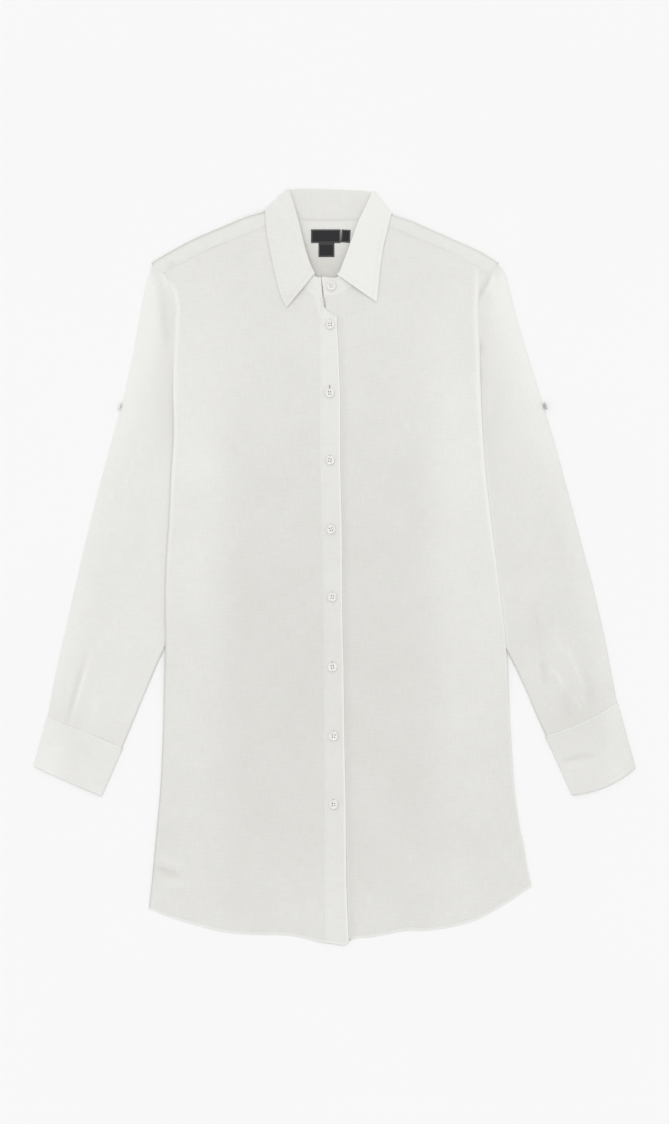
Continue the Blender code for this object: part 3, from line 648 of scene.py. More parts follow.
def border_of(cells):
    """The edges that one cell alone has, each in that cell's direction."""
    edges = [(cell[k], cell[(k + 1) % 4]) for cell in cells.tolist() for k in range(4)]
    both = set(edges)
    return [edge for edge in edges if edge[::-1] not in both]


finishes = {}
sewn_on = {}


def plain_object(name, corners, faces):
    """A mesh object of its own, in the scene."""
    mesh = bpy.data.meshes.new(name)
    mesh.from_pydata([tuple(corner) for corner in corners], [], faces)
    made = bpy.data.objects.new(name, mesh)
    bpy.context.scene.collection.objects.link(made)
    return made


def new_piece(name, corners, faces, material):
    """A smooth mesh object with one finish, riding on the dress, its corners in millimetres."""
    made = plain_object(name, np.asarray(corners) * MM, faces)
    made.data.polygons.foreach_set("use_smooth", [True] * len(made.data.polygons))
    made.data.materials.append(finishes[material])
    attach(made, "root")
    return made


def cloth(
    node, points, thick, tone, threads=None, closed=False, keep=None, under=None, material="linen"
):  # fmt: skip
    """A node's sheet of cloth with rounded rims, its middle a grid of points, normals out of its face.

    thick and tone are one number each, or one for each point, and under is the tone of the
    other face where it differs. The tone is how light the linen is, with its painted light and shade.
    threads gives each point its place along weft and warp.
    A closed sheet is a tube, whose last column lies on its first.
    """
    rows, columns = points.shape[:2]
    cells = grid_cells(rows, columns, closed, keep)
    flat = points.reshape(-1, 3)
    half = np.broadcast_to(thick, (rows, columns)).reshape(-1, 1) / 2
    normal = normals_at(flat, cells)

    border = border_of(cells)
    out = np.zeros_like(flat)
    for a, b in border:
        away = np.cross(flat[b] - flat[a], normal[a] + normal[b])
        out[a] += away
        out[b] += away
    rim = sorted({a for edge in border for a in edge})
    rim_index = {a: 2 * len(flat) + k for k, a in enumerate(rim)}
    rim_corners = flat[rim] + units(out[rim]) * half[rim]
    corners = np.concatenate([flat + normal * half, flat - normal * half, rim_corners])

    faces = cells.tolist() + (cells[:, ::-1] + len(flat)).tolist()
    for a, b in border:
        faces.append((a, rim_index[a], rim_index[b], b))
        faces.append((rim_index[a], a + len(flat), b + len(flat), rim_index[b]))
    used = np.unique(np.concatenate([np.array(face) for face in faces]))
    new_index = np.zeros(len(corners), int)
    new_index[used] = np.arange(len(used))
    faces = [tuple(new_index[list(face)]) for face in faces]
    made = new_piece(f"{node}_cloth", corners[used], faces, material)

    threads = (arcs(points) if threads is None else threads).reshape(-1, 2)
    threads = np.concatenate([threads, threads, threads[rim]]) * MM
    loops = np.zeros(len(made.data.loops), int)
    made.data.loops.foreach_get("vertex_index", loops)
    layer = made.data.uv_layers.new(name="weave")
    layer.data.foreach_set("uv", threads[used][loops].ravel())

    keys = {
        tuple(sorted(new_index[[a + shift, b + shift]].tolist()))
        for a, b in border
        for shift in (0, len(flat))
    }
    for edge in made.data.edges:
        edge.use_edge_sharp = tuple(sorted(edge.vertices)) in keys

    # The tone attribute: the linen's lightness, with the painted light and shade of each point
    tones = np.broadcast_to(tone, (rows, columns)).ravel()
    under = tones if under is None else under.ravel()
    tones = np.concatenate([tones, under, tones[rim]])[used]
    made.data.attributes.new("tone", "FLOAT", "POINT").data.foreach_set("value", tones)
    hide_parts(node)
    return made


def placket_line(y, column):
    """The x of one of the placket's edges at a height."""
    return np.interp(y, PLACKET["height"], PLACKET[column])


def band_line(y, column):
    """The x of one of the button band's edges at a height."""
    return np.interp(y, BAND["height"], BAND[column])


def body_line(side, share):
    """A column's x as a function of height, from the side to the placket's or the band's seam."""

    def x_at(y):
        inner = placket_line(y, "seam") if side < 0 else band_line(y, "sewn")
        return (1 - share) * side_edge(y, side) + share * inner

    return x_at


def hem_foot(across):
    """Where a column of the body reaches the hem; across(y) is the column's x."""
    y = HEM["height"].min()
    for _ in range(FOOT_ROUNDS):
        y = looked_up(HEM, "height", across(y), "across")
    return y


def body_column(across, raise_foot=0.0):
    """The heights of a column's rows: close together in the hem, then even."""
    foot = hem_foot(across) + raise_foot
    even = np.linspace(HEM_ROWS[-1], BODY_TOP - foot, BODY_STEPS + 1)[1:]
    return foot + np.concatenate([HEM_ROWS, even])


def above_hem(points):
    """How far above the foot of its column each point is."""
    return points[..., 1] - points[:1, :, 1]


def hem_thickness(points):
    """One layer of cloth, and the doubled hem at the foot of a body panel."""
    return CLOTH + (DOUBLE - CLOTH) * falling(above_hem(points), (HEM_STITCH, HEM_DEEP))


def hem_bend(points):
    """1 at a front's foot, where it bends down past the back's hem, and 0 above."""
    return falling(above_hem(points), (0, HEM_BEND))


def forward_seam(side, share, gap=0.0):
    """A point of the forward shoulder seam, from the armhole to the neck, moved down by a gap."""
    seam = FORWARD_SEAMS[side]
    along = np.linspace(1, 0, len(seam["across"]))
    x, y = smooth(share, along, seam["across"]), smooth(share, along, seam["height"])
    return np.array([x, y - gap])


def neck_seam(rows, gap=0.0):
    """The neck seam's points along sampled collar rows, moved away from the collar by a gap."""
    seam = np.stack([rows["seam_x"], rows["seam_y"]], axis=1)
    fold = np.stack([rows["fold_x"], rows["fold_y"]], axis=1)
    return seam - gap * units(fold - seam)


# How light the linen is painted, from -1 to 1, its own colour with painted light and shade: down
# the middle of the body, and how much lighter its sides are painted; down the sleeves; the painted
# shade inside the neck; and the collar and the strips
BODY_TONES = table("height middle beside", (
    (-430, 0.55, 0.06),
    (-390, 0.50, 0.08),
    (-200, 0.43, 0.16),
    (40, 0.49, 0.24),
    (200, 0.59, 0.20),
    (290, 0.64, 0.08),
    (420, 0.65, 0),
))  # fmt: skip
SLEEVE_TONES = table("height left right", (
    (-280, 0.80, 0.66),
    (-190, 0.72, 0.58),
    (-100, 0.72, 0.58),
    (70, 0.72, 0.62),
    (300, 0.92, 0.90),
    (370, 0.86, 0.90),
))  # fmt: skip
NECK_TONES = table("height inside", (
    (340, 0.24),
    (365, 0.27),
    (395, 0.62),
    (424, 0.78),
))  # fmt: skip
COLLAR_TONES = {"stand": 0.66, "stand_front": 0.22, "leaf": 0.78, "across": 0.24}
STAND_FRONT = (350.0, 365.0)
LEAF_ACROSS = (-60.0, 50.0)
# Painted light: the placket and the yoke's outside are painted lighter than the body
PLACKET_PAINTED_LIGHT = 0.16
YOKE_PAINTED_LIGHT = 0.08

# Painted light and shade in the cloth's tone at its edges. A shade is how wide it is and how deep, and a
# pair of places is where something starts to fade and where it has faded.
SIDE_LIGHT = (100.0, 170.0)
SIDE_NARROWER = 1.12
SIDE_RIMS = {
    -1: {"dark": 0.46, "light": 0.28, "inward": 2.6, "wide": 1.4},
    1: {"dark": -0.3, "light": 0.34, "inward": 1.9, "wide": 2.2},
}
SIDE_DARK = (2.4, 0.06)
SIDE_DARK_TOP = (140.0, 200.0)
BESIDE_SLEEVE_FOOT = (-90.0, 110.0)
BESIDE_SLEEVE_TOP = (205.0, 235.0)
BESIDE_BODY = (0.0, 5.0)
BESIDE_BODY_LIGHT = {-1: 0.0, 1: 0.34}
TOP_SHADE = (1.5, 0.2)
BAND_SHADE = (12.0, 0.2)
HEM_LIGHT = 0.42
PLACKET_EDGE_HIGHLIGHT = 0.5
# Painted shade on the back, where the slit at the placket's top shows it
SLIT = {"x": -12.5, "y": 321.0, "reach_x": 6.0, "reach_y": 12.0, "shade": 1.5}
NECK_MIDDLE = -8.0
NECK_SIDES = (60.0, 72.0)
FOLD_SHADES = (0.6, 0.35)
FOLD_ROWS = (3.0, 1.5)
TABLE_SHADE = (1.4, 0.5)
SLEEVE_EDGE_HIGHLIGHT = 0.14
SLEEVE_EDGE_WIDE = (0.0, 34.0)
HOLE_TONE = 0.66
HOLE_BESIDE = (0.0, 30.0)
HOLE_FOOT = (120.0, 180.0)
INNER_SHADE = (3.0, 0.5)
INNER_FADE = 20.0
SLEEVE_FOOT_SHADE = (14.0, 0.08)
CUFF_SEAM_LIGHT = 0.2


def body_tone(points):
    """The body's tone, with painted light and shade: lighter towards the shoulders and along the sides."""
    x, y = xy(points)
    out = np.where(x > 0, SIDE_NARROWER * x, -x)
    return looked_up(BODY_TONES, "middle", y) + looked_up(BODY_TONES, "beside", y) * rising(out, SIDE_LIGHT)


def edge_shade(distance, wide, deep):
    """Painted shade: how much darker the cloth is made within a width of an edge that turns away."""
    return -deep * falling(distance, (0, wide))


def neck_opening(points):
    """1 where the neck opening shows the yoke, and 0 beside it."""
    return falling(np.abs(points[..., 0] - NECK_MIDDLE), NECK_SIDES)


def yoke_tones(points):
    """The yoke's tones, inside and outside: painted shade inside, where the neck opening shows it."""
    outside = body_tone(points) + YOKE_PAINTED_LIGHT
    inside = looked_up(NECK_TONES, "inside", points[..., 1])
    near = neck_opening(points)
    return outside * (1 - near) + inside * near, outside


def sleeve_tone(points, side, upper):
    """A sleeve's tone, with painted light and shade: the body's at the armhole, lightest at the shoulder's
    outer edge.

    upper is 1 on its upper side and 0 on the side that rests.
    """
    x, y = xy(points)
    sleeve = SLEEVES[side]
    outer, inner = (looked_up(sleeve, f"{end}_x", y, f"{end}_y") for end in ("outer", "inner"))
    tone = looked_up(SLEEVE_TONES, "left" if side < 0 else "right", y)
    tone = tone + SLEEVE_EDGE_HIGHLIGHT * falling(np.abs(outer - x), SLEEVE_EDGE_WIDE)
    outward = side * (x - side_edge(y, side))
    tone += (HOLE_TONE - tone) * falling(np.abs(outward), HOLE_BESIDE) * rising(y, HOLE_FOOT)
    beside_body = falling(outward, BESIDE_BODY) * falling(y, BESIDE_SLEEVE_TOP)
    tone += BESIDE_BODY_LIGHT[side] * beside_body * upper
    armpit = sleeve["inner_y"][0]
    return tone + edge_shade(np.abs(x - inner), *INNER_SHADE) * falling(y, (armpit - INNER_FADE, armpit))


def front_tone(points, side, side_gap):
    """A front's tone: painted shade and light along its seams, and a painted light rim at its hem."""
    x, y = xy(points)
    rim = SIDE_RIMS[side]
    wide, deep = SIDE_DARK
    tone = body_tone(points) + edge_shade(side_gap, wide, deep + rim["dark"] * falling(y, SIDE_DARK_TOP))
    beside_sleeve = rising(y, BESIDE_SLEEVE_FOOT) * falling(y, BESIDE_SLEEVE_TOP)
    tone += rim["light"] * beside_sleeve * hump(side_gap - rim["inward"], rim["wide"])
    tone += HEM_LIGHT * hem_bend(points)
    tone += edge_shade(np.arange(len(points))[::-1, None], *TOP_SHADE)
    if side > 0:
        tone += edge_shade(x - placket_line(y, "edge"), *BAND_SHADE)
    return tone


# The fronts' slow waves and how far they stay clear of the side and the placket, and the roll of
# their sides down to the back
WAVE_HIGH = 0.7
WAVE_LONG = 85.0
WAVE_STRETCH = 0.6
WAVE_SEED = 3.0
WAVE_TOP = (258.0, 378.0)
WAVE_FROM_SIDE = (0.0, 40.0)
WAVE_FROM_PLACKET = (0.0, 60.0)
PLACKET_MIDDLE = -4.0
SIDE_DROP = 0.85
SIDE_ROLL = 7.0
ARMPIT = (120.0, 190.0)


def waves(points, side_gap):
    """The fronts' slow rise and fall, level at the side and the placket."""
    x, y = xy(points)
    flat = points[..., :2].reshape(-1, 2) / WAVE_LONG
    drift = np.array([noise.noise(Vector((u, v * WAVE_STRETCH, WAVE_SEED))) for u, v in flat])
    drift = np.clip(0.5 + drift, 0, 1).reshape(x.shape)
    from_placket = rising(np.abs(x - PLACKET_MIDDLE), WAVE_FROM_PLACKET)
    inner = np.minimum(rising(side_gap, WAVE_FROM_SIDE), from_placket)
    return WAVE_HIGH * inner * falling(y, WAVE_TOP) * drift


def side_roll(points, side_gap):
    """How far a front's side bends down to the back that it is sewn to."""
    return SIDE_DROP * falling(side_gap, (0, SIDE_ROLL)) * falling(points[..., 1], ARMPIT)


def placket_lift(points):
    """How far the left front rises to meet the placket, which lies on the band."""
    x, y = xy(points)
    near = falling(placket_line(y, "seam") - x, (0, PLACKET_SLOPE))
    return LAYER * near * falling(y, PLACKET_DROP)


def make_front(side):
    """A front panel, from its side and armhole to the placket, up to the forward and neck seams."""
    neck = neck_seam(rows_of(COLLAR_LEFT if side < 0 else COLLAR_RIGHT, NECK_STEPS))
    if side > 0:
        neck = neck[::-1]
    neck = neck[NECK_STEPS : 5 * NECK_STEPS + 1][::-1]
    along = (neck[:, 0] - neck[0, 0]) / (neck[-1, 0] - neck[0, 0])
    shares = np.concatenate([SIDE_COLUMNS, NECK_COLUMN + (1 - NECK_COLUMN) * along[1:]])
    top = [forward_seam(side, share / NECK_COLUMN) for share in SIDE_COLUMNS[:-1]] + list(neck)

    columns = []
    steps = np.linspace(0, 1, TOP_STEPS + 1)[1:]
    bulge = armhole_bulge(outline_point(BODY_TOP, side), top[0], steps, side)
    for share, end in zip(shares, top):
        x_at = body_line(side, share)
        y = body_column(x_at)
        line = np.stack([x_at(y), y], axis=1)
        upper = line[-1] + steps[:, None] * (end - line[-1])
        upper[:, 0] += bulge * (1 - share) ** ARMHOLE_POWER
        columns.append(np.concatenate([line, upper]))
    points = on_layer(grid(columns), 1)
    side_gap = np.linalg.norm(points - points[:, :1], axis=2)
    points[..., 2] += waves(points, side_gap) - side_roll(points, side_gap)
    if side < 0:
        points[..., 2] += placket_lift(points)
    else:
        points, side_gap = points[:, ::-1], side_gap[:, ::-1]
    points[..., 2] = np.maximum(points[..., 2] - HEM_DROP * hem_bend(points), DOUBLE / 2 + CLEAR)

    node = "front_left" if side < 0 else "front_right"
    rise, ridge_light = armhole_ridge(points, side)
    points[..., 2] += rise
    points, light = creased(points, CREASES[node], above_back(points))
    tone = front_tone(points, side, side_gap) + light + ridge_light
    made = cloth(node, points, hem_thickness(points), tone, points[..., :2])
    sew(f"{node}_hem_stitches", made, [points[HEM_STITCH_ROW, :, :2]])


def make_back():
    """The back panel, on the table from its hem to the yoke."""
    shares = np.concatenate([SIDE_COLUMNS[::2], np.linspace(NECK_COLUMN, 1, BACK_MIDDLE_COLUMNS)[1:]])
    lines = [body_line(-1, share) for share in shares] + [body_line(1, share) for share in shares[::-1]]
    columns = []
    for x_at in lines:
        y = np.concatenate([body_column(x_at, BACK_HEM_RISE), BACK_TOP_ROWS, [YOKE_SEAM]])
        columns.append(np.stack([x_at(y), y], axis=1))
    points = on_layer(grid(columns), 0)
    thick = hem_thickness(points)
    points[..., 2] += thick / 2 + REST - LOWEST
    points, light = creased(points, CREASES["back"], 0.0)
    outside = body_tone(points) + light
    x, y = xy(points)
    # Painted shade on the back, where the slit at the placket's top shows it
    behind_slit = hump(x - SLIT["x"], SLIT["reach_x"]) * hump(y - SLIT["y"], SLIT["reach_y"])
    tone = outside - SLIT["shade"] * behind_slit
    made = cloth("back", points, thick, tone, points[..., :2], under=outside)
    sew("back_hem_stitches", made, [points[HEM_STITCH_ROW, :, :2]], below=True)


def shoulder(side, share):
    """A point of a shoulder's fold and the plan direction out of it; share runs tip to neck."""
    fold = SHOULDERS[side]
    line = np.stack([fold["across"], fold["height"]], axis=1)
    along = lengths(line)
    at = (1 - share) * along[-1]
    point, ahead, behind = (smooth(at + step, along, line) for step in (0, 2, -2))
    return point, unit(turned_left(ahead - behind)) * side


# The yoke's columns along a shoulder: their shares of the way from its tip to the neck, how fast
# they leave the armhole, and where they turn to the neck seam
SHOULDER_SHARES = (*np.linspace(0, 0.92, 44), *np.linspace(0.93, 1, 10))
ARMHOLE_POWER = 4
FOLD_POWER = 8
OUT_POWER = 12
NECK_TURN = (0.85, 0.97)
NECK_END = (0.983, 1.0)
YOKE_FOOT = 0.9


def shoulder_columns(side):
    """Columns of the yoke from a shoulder's tip to the neck: foot, fold, way out, front, share."""
    corner = 0 if side < 0 else -1
    neck_point = neck_seam(COLLAR_BACK)[corner]
    fold_end = np.array([COLLAR_BACK["fold_x"][corner], COLLAR_BACK["fold_y"][corner]])
    neck_out = turned_left(unit(fold_end - neck_point)) * -side
    tip, tip_out = outline_point(SHOULDER_TIP, side), outline_way(SHOULDER_TIP, side)
    foot_tip = outline_point(YOKE_SEAM, side)
    foot_neck = np.array([neck_point[0] * YOKE_FOOT, YOKE_SEAM])
    made = []
    for share in SHOULDER_SHARES:
        fold, out = shoulder(side, share)
        fold = fold + (tip - shoulder(side, 0)[0]) * (1 - share) ** FOLD_POWER
        out = unit(out + (tip_out - out) * (1 - share) ** OUT_POWER)
        out = unit(out + (neck_out - out) * rising(share, NECK_TURN))
        fold = fold + (neck_point - fold) * rising(share, NECK_END)
        foot = foot_tip + share * (foot_neck - foot_tip)
        made.append((foot, fold, out, forward_seam(side, share, YOKE_LAP), share))
    return made


def make_yoke():
    """The yoke: its back on the table, a fold along each shoulder, and a strip down each front."""
    steps = np.linspace(0, 1, YOKE_STEPS + 1)
    strip = np.linspace(0, 1, STRIP_STEPS + 1)[1:]
    turns = np.radians(np.linspace(-90, 90, TURN_STEPS + 1)[1:])

    def shoulder_lines(side):
        columns = shoulder_columns(side)
        foot_tip, tip, _, front_tip, _ = columns[0]
        lines = []
        for foot, fold, out, front, share in columns:
            low = foot + steps[:, None] * (fold - foot)
            low[:, 0] += armhole_bulge(foot_tip, tip, steps, side) * (1 - share) ** ARMHOLE_POWER
            low = on_layer(low, 0)
            centre = low[-1] + (0, 0, FOLD)
            round_it = [centre + FOLD * np.array([*(out * math.cos(turn)), math.sin(turn)]) for turn in turns]
            over = fold + strip[:, None] * (front - fold)
            over[:, 0] += armhole_bulge(tip, front_tip, strip, side) * (1 - share) ** FOLD_POWER
            lines.append(np.concatenate([low, round_it, on_layer(over, 1)]))
        return lines

    left, right = shoulder_lines(-1), shoulder_lines(1)[::-1]
    middle = []
    for point in neck_seam(rows_of(COLLAR_BACK, BACK_NECK_STEPS))[1:-1]:
        foot = np.array([point[0] * YOKE_FOOT, YOKE_SEAM])
        line = on_layer(foot + steps[:, None] * (point - foot), 0)
        middle.append(np.concatenate([line, np.repeat(line[-1:], TURN_STEPS + STRIP_STEPS, axis=0)]))
    points = grid(left + middle + right)
    first, last = len(left) - 1, len(left) + len(middle)

    def keep(row, column):
        return row < YOKE_STEPS or column < first or column >= last

    raised = np.where(points[..., 2] > LAYER, 1.0, 0.0)
    points, light = creased(points, CREASES["yoke"], above_back(points), raised)
    inside, outside = yoke_tones(points)
    # Painted shade along each shoulder's fold, and along the fold's row where the neck opening shows it
    past_fold = np.arange(len(points))[:, None] - YOKE_STEPS
    turn = rising(past_fold, (0, FOLD_ROWS[0])) * falling(past_fold, (TURN_STEPS, TURN_STEPS + FOLD_ROWS[1]))
    beside = 1 - neck_opening(points)
    light -= np.where(points[..., 0] < 0, *FOLD_SHADES) * turn * beside
    light += edge_shade(np.abs(past_fold), *TABLE_SHADE) * (1 - beside)
    tone, under = inside + light, outside + light
    made = cloth("yoke", points, YOKE_THICK, tone, points[..., :2], keep=keep, under=under)
    shares = np.linspace(*YOKE_SEWN)
    lines = [[forward_seam(side, share, -SEAM_STITCH) for share in shares] for side in (-1, 1)]
    sew("yoke_front_stitches", made, lines)
    ends = [side_edge(YOKE_SEAM, side) - side * SEAM_STITCH for side in (-1, 1)]
    sew("yoke_back_stitches", made, [[(x, YOKE_SEAM + SEAM_STITCH) for x in ends]], below=True)


# Where a collar section counts as the front of the stand, by its lean in degrees and its height
FRONT_LEAN = (60.0, 90.0)
FRONT_RISE = (3.0, 6.0)


def collar_section(rows, index, side, lean):
    """One section of the collar: its seam, fold and edge, the way up it and the way out of it."""
    section = {name: values[index] for name, values in rows.items()}
    ends = ("seam", "fold", "edge")
    seam, fold, edge = (np.array([section[f"{end}_x"], section[f"{end}_y"]]) for end in ends)
    out = turned_left(unit(fold - seam)) * -side
    angle = math.radians(lean)
    section["normal"] = np.array([*(out * math.cos(angle)), math.sin(angle)])
    section["seam"] = np.array([*seam, ground(*seam) + LOWEST + FOLD])
    section["fold"] = np.array([*fold, section["rise"]])
    section["edge"] = np.array([*edge, ground(*edge) + LOWEST + FOLD])
    section["front"] = rising(lean, FRONT_LEAN) * rising(section["rise"], FRONT_RISE)
    ahead = np.array([np.gradient(rows["fold_x"])[index], np.gradient(rows["fold_y"])[index]])
    inward = -turned_left(unit(ahead))
    section["up"] = np.array([*unit(unit(fold - seam) + section["front"] * RIM_TURN * inward), 0.0])
    return section


def collar_sections():
    """Every section of the collar, in order round the neck."""
    turns = np.linspace(-90, 90, TURN_STEPS + 1)[1:-1]
    left, right = rows_of(COLLAR_LEFT, NECK_STEPS), rows_of(COLLAR_RIGHT, NECK_STEPS)
    back = rows_of(COLLAR_BACK, BACK_NECK_STEPS)
    sections = [collar_section(left, index, -1, 90) for index in range(len(left["rise"]))]
    sections += [collar_section(back, 0, -1, lean) for lean in turns[::-1]]
    sections += [collar_section(back, index, 1, -90) for index in range(len(back["rise"]))]
    sections += [collar_section(back, -1, 1, lean) for lean in turns]
    sections += [collar_section(right, index, 1, 90) for index in range(len(right["rise"]))]
    return sections


def seam_to_fold(section):
    """The length of a section's stand in plan."""
    return np.linalg.norm((section["fold"] - section["seam"])[:2])


def along_section(section, distance):
    """A point of the stand's outer side, at a distance from the fold."""
    down = (section["seam"] - section["fold"]) * distance / seam_to_fold(section)
    return section["fold"] + down + FOLD * section["normal"]


def make_stand(sections):
    """The band round the neck, up to where the leaf folds over it."""
    columns = []
    for section in sections:
        distances = np.linspace(seam_to_fold(section), section["roll"], STAND_ROWS)
        columns.append([along_section(section, distance) for distance in distances])
    points = grid(columns)
    # Painted light: the stand is lighter at its front
    tone = COLLAR_TONES["stand"] + COLLAR_TONES["stand_front"] * falling(points[..., 1], STAND_FRONT)
    made = cloth("collar_stand", points, DOUBLE, tone)
    back = rows_of(COLLAR_BACK, BACK_NECK_STEPS)
    sew("collar_stand_stitches", made, [neck_seam(back, -SEAM_STITCH)[2:-2]])


def make_leaf(sections):
    """The leaf: up from the stand, round the fold, and down to its free edge."""
    columns = []
    for section in sections:
        up, normal = section["up"], section["normal"]
        centre = section["fold"] - (FOLD + SOLID_WALL / 2) * up + 2 * FOLD * normal
        line = [along_section(section, section["roll"] + LEAF_LAP)]
        for turn in np.radians(np.linspace(0, 180, TURN_STEPS + 1)):
            line.append(centre + FOLD * (up * math.sin(turn) - normal * math.cos(turn)))
        start, end = line[-1], section["edge"] + 3 * FOLD * normal
        for share in np.linspace(0, 1, LEAF_STEPS + 1)[1:]:
            crown = LEAF_CROWN * math.sin(math.pi * share) * section["front"]
            line.append(start + share * (end - start) + (0, 0, crown))
        columns.append(line)
    points = grid(columns)
    # Painted light across the leaf, lighter towards the right, with the stand's tone inside the fold
    tone = COLLAR_TONES["leaf"] + COLLAR_TONES["across"] * rising(points[..., 0], LEAF_ACROSS)
    inside = falling(np.arange(len(points)), (0, TURN_STEPS / 2))[:, None]
    tone += (COLLAR_TONES["stand"] - tone) * inside
    made = cloth("collar_leaf", points, STIFF, tone)

    borders = []
    for gap, half in ((-LEAF_STITCH, sections), (LEAF_STITCH, sections[::-1])):
        line = [half[0]["fold"][:2]] + [section["edge"][:2] for section in half[1 : 4 * NECK_STEPS]]
        borders.append(inset(line, gap))
    sew("collar_leaf_stitches", made, borders)


# A front strip's rows: how far apart, those at the neck, and the steps from there to the seam
STRIP_ROW = 4.0
STRIP_TOP_ROWS = np.arange(304.5, 325, 1.5)
STRIP_LAST_STEPS = 4
STRIP_SEWN = (0.08, 0.91)


def strip_points(across, neck, foot_rise):
    """A strip down the front: a grid of plan points, its last row on the neck seam.

    Its rows are close in the hem, even up the front, and close again at the neck.
    """
    shares = np.linspace(0, 1, len(neck))
    feet = [hem_foot(lambda y, share=share: across(y, share)) + foot_rise for share in shares]
    even = np.arange(feet[0] + HEM_ROWS[-1], STRIP_TOP_ROWS[0], STRIP_ROW)
    first = np.concatenate([feet[0] + np.array(HEM_ROWS[:-1]), even, STRIP_TOP_ROWS])
    steps = np.linspace(0, 1, STRIP_LAST_STEPS + 1)[1:, None]
    columns = []
    for share, end, foot in zip(shares, neck, feet):
        heights = foot + (first - feet[0]) * (first[-1] - foot) / (first[-1] - feet[0])
        line = np.stack([across(heights, share), heights], axis=1)
        columns.append(np.concatenate([line, line[-1] + steps * (end - line[-1])]))
    return grid(columns)


def lengthwise(points, share):
    """The line down a grid at a share of the way across it, in plan."""
    at = share * (points.shape[1] - 1)
    low = int(at)
    return (points[:, low] * (low + 1 - at) + points[:, low + 1] * (at - low))[:, :2]


def make_placket():
    """The buttonhole placket, down the left front; its open top bends down to the neck seam."""
    neck = neck_seam(rows_of(COLLAR_LEFT, NECK_STEPS))[: NECK_STEPS + 1][::-1]

    def across(y, share):
        return (1 - share) * placket_line(y, "seam") + share * placket_line(y, "edge")

    points = on_layer(strip_points(across, neck, 0.0), 1)
    points[..., 2] += LAYER * falling(points[..., 1], PLACKET_DROP) - HEM_DROP * hem_bend(points)
    points, light = creased(points, CREASES["placket"], above_back(points))
    # Painted light: the placket lighter than the body, a light rim at its hem, and a highlight along its free
    # edge
    tone = body_tone(points) + PLACKET_PAINTED_LIGHT + light + HEM_LIGHT * hem_bend(points)
    tone[:, -1] += PLACKET_EDGE_HIGHLIGHT
    made = cloth("placket", points, DOUBLE, tone, points[..., :2])
    lines = [lengthwise(points, share) for share in STRIP_SEWN] + [points[HEM_STITCH_ROW, :, :2]]
    sew("placket_stitches", made, lines)
    return made


def make_button_band():
    """The band under the placket, sewn to the right front."""
    neck = neck_seam(rows_of(COLLAR_RIGHT, NECK_STEPS))[-NECK_STEPS - 1 :][::-1]

    def across(y, share):
        return (1 - share) * band_line(y, "free") + share * band_line(y, "sewn")

    points = on_layer(strip_points(across, neck, BACK_HEM_RISE), 1)
    made = cloth("button_band", points, DOUBLE, body_tone(points), points[..., :2])
    sew("button_band_stitches", made, [lengthwise(points, share) for share in STRIP_SEWN])


def ring(start, end, thick, out_start, out_end, bend):
    """A flattened tube's middle line round one row, under it from start to end and back on top.

    start and end are where its two folds begin, the outs their plan directions, and
    bend(share) is the row's shift from a straight line.
    """
    radius = (thick - SOLID_WALL) / 2
    level = LOWEST + radius

    def place(share, out=0.0, up=0.0):
        x, y = start + share * (end - start) + bend(share) + out * radius
        return np.array([x, y, level + radius * up])

    under = np.linspace(0, 1, SLEEVE_UNDER + 1)
    over = np.linspace(0, 1, SLEEVE_TOP + 1)
    turns = np.radians(np.linspace(-90, 90, END_STEPS + 1)[1:-1])
    line = [place(share, up=-1) for share in under]
    line += [place(1, out_end * math.cos(turn), math.sin(turn)) for turn in turns]
    line += [place(share, up=1) for share in over[::-1]]
    line += [place(0, out_start * math.cos(turn), math.sin(turn)) for turn in turns[::-1]]
    return line + line[:1]


def outs_of(points, side):
    """The plan direction square to an edge at each of its points, to the right of the way down it."""
    return np.array([unit(turned_left(step)) for step in np.gradient(points, axis=0)]) * side


def bow(share, deep):
    """How far a bowed line lies from straight at a share of its length."""
    return deep * 4 * share * (1 - share)


def sleeve_edges(side):
    """A sleeve's outer and inner silhouettes, row by row from the armhole to the cuff."""
    sleeve = SLEEVES[side]
    count = len(sleeve["outer_x"])
    places = np.linspace(0, count - 1, SLEEVE_ROWS)
    spots = {key: smooth(places, np.arange(count), values) for key, values in sleeve.items()}
    return [np.stack([spots[f"{end}_x"], spots[f"{end}_y"]], axis=1) for end in ("outer", "inner")]


def tube(node, side, points, thick, more):
    """A flattened tube of cloth with the creases of its upper side, its normals outwards.

    more is the painted light and shade that each of its rows adds to the sleeve's tone.
    """
    upper = ease((points[..., 2] - points[..., 2].min()) / UPPER_SIDE)
    rise, ridge_light = armhole_ridge(points, side)
    points[..., 2] += upper * rise
    points, light = creased(points, CREASES[node], LOWEST + thick + CLEAR, upper)
    tone = sleeve_tone(points, side, upper) + light + upper * ridge_light + more
    if side > 0:
        points, tone = points[:, ::-1], tone[:, ::-1]
    return cloth(node, points, thick, tone, closed=True)


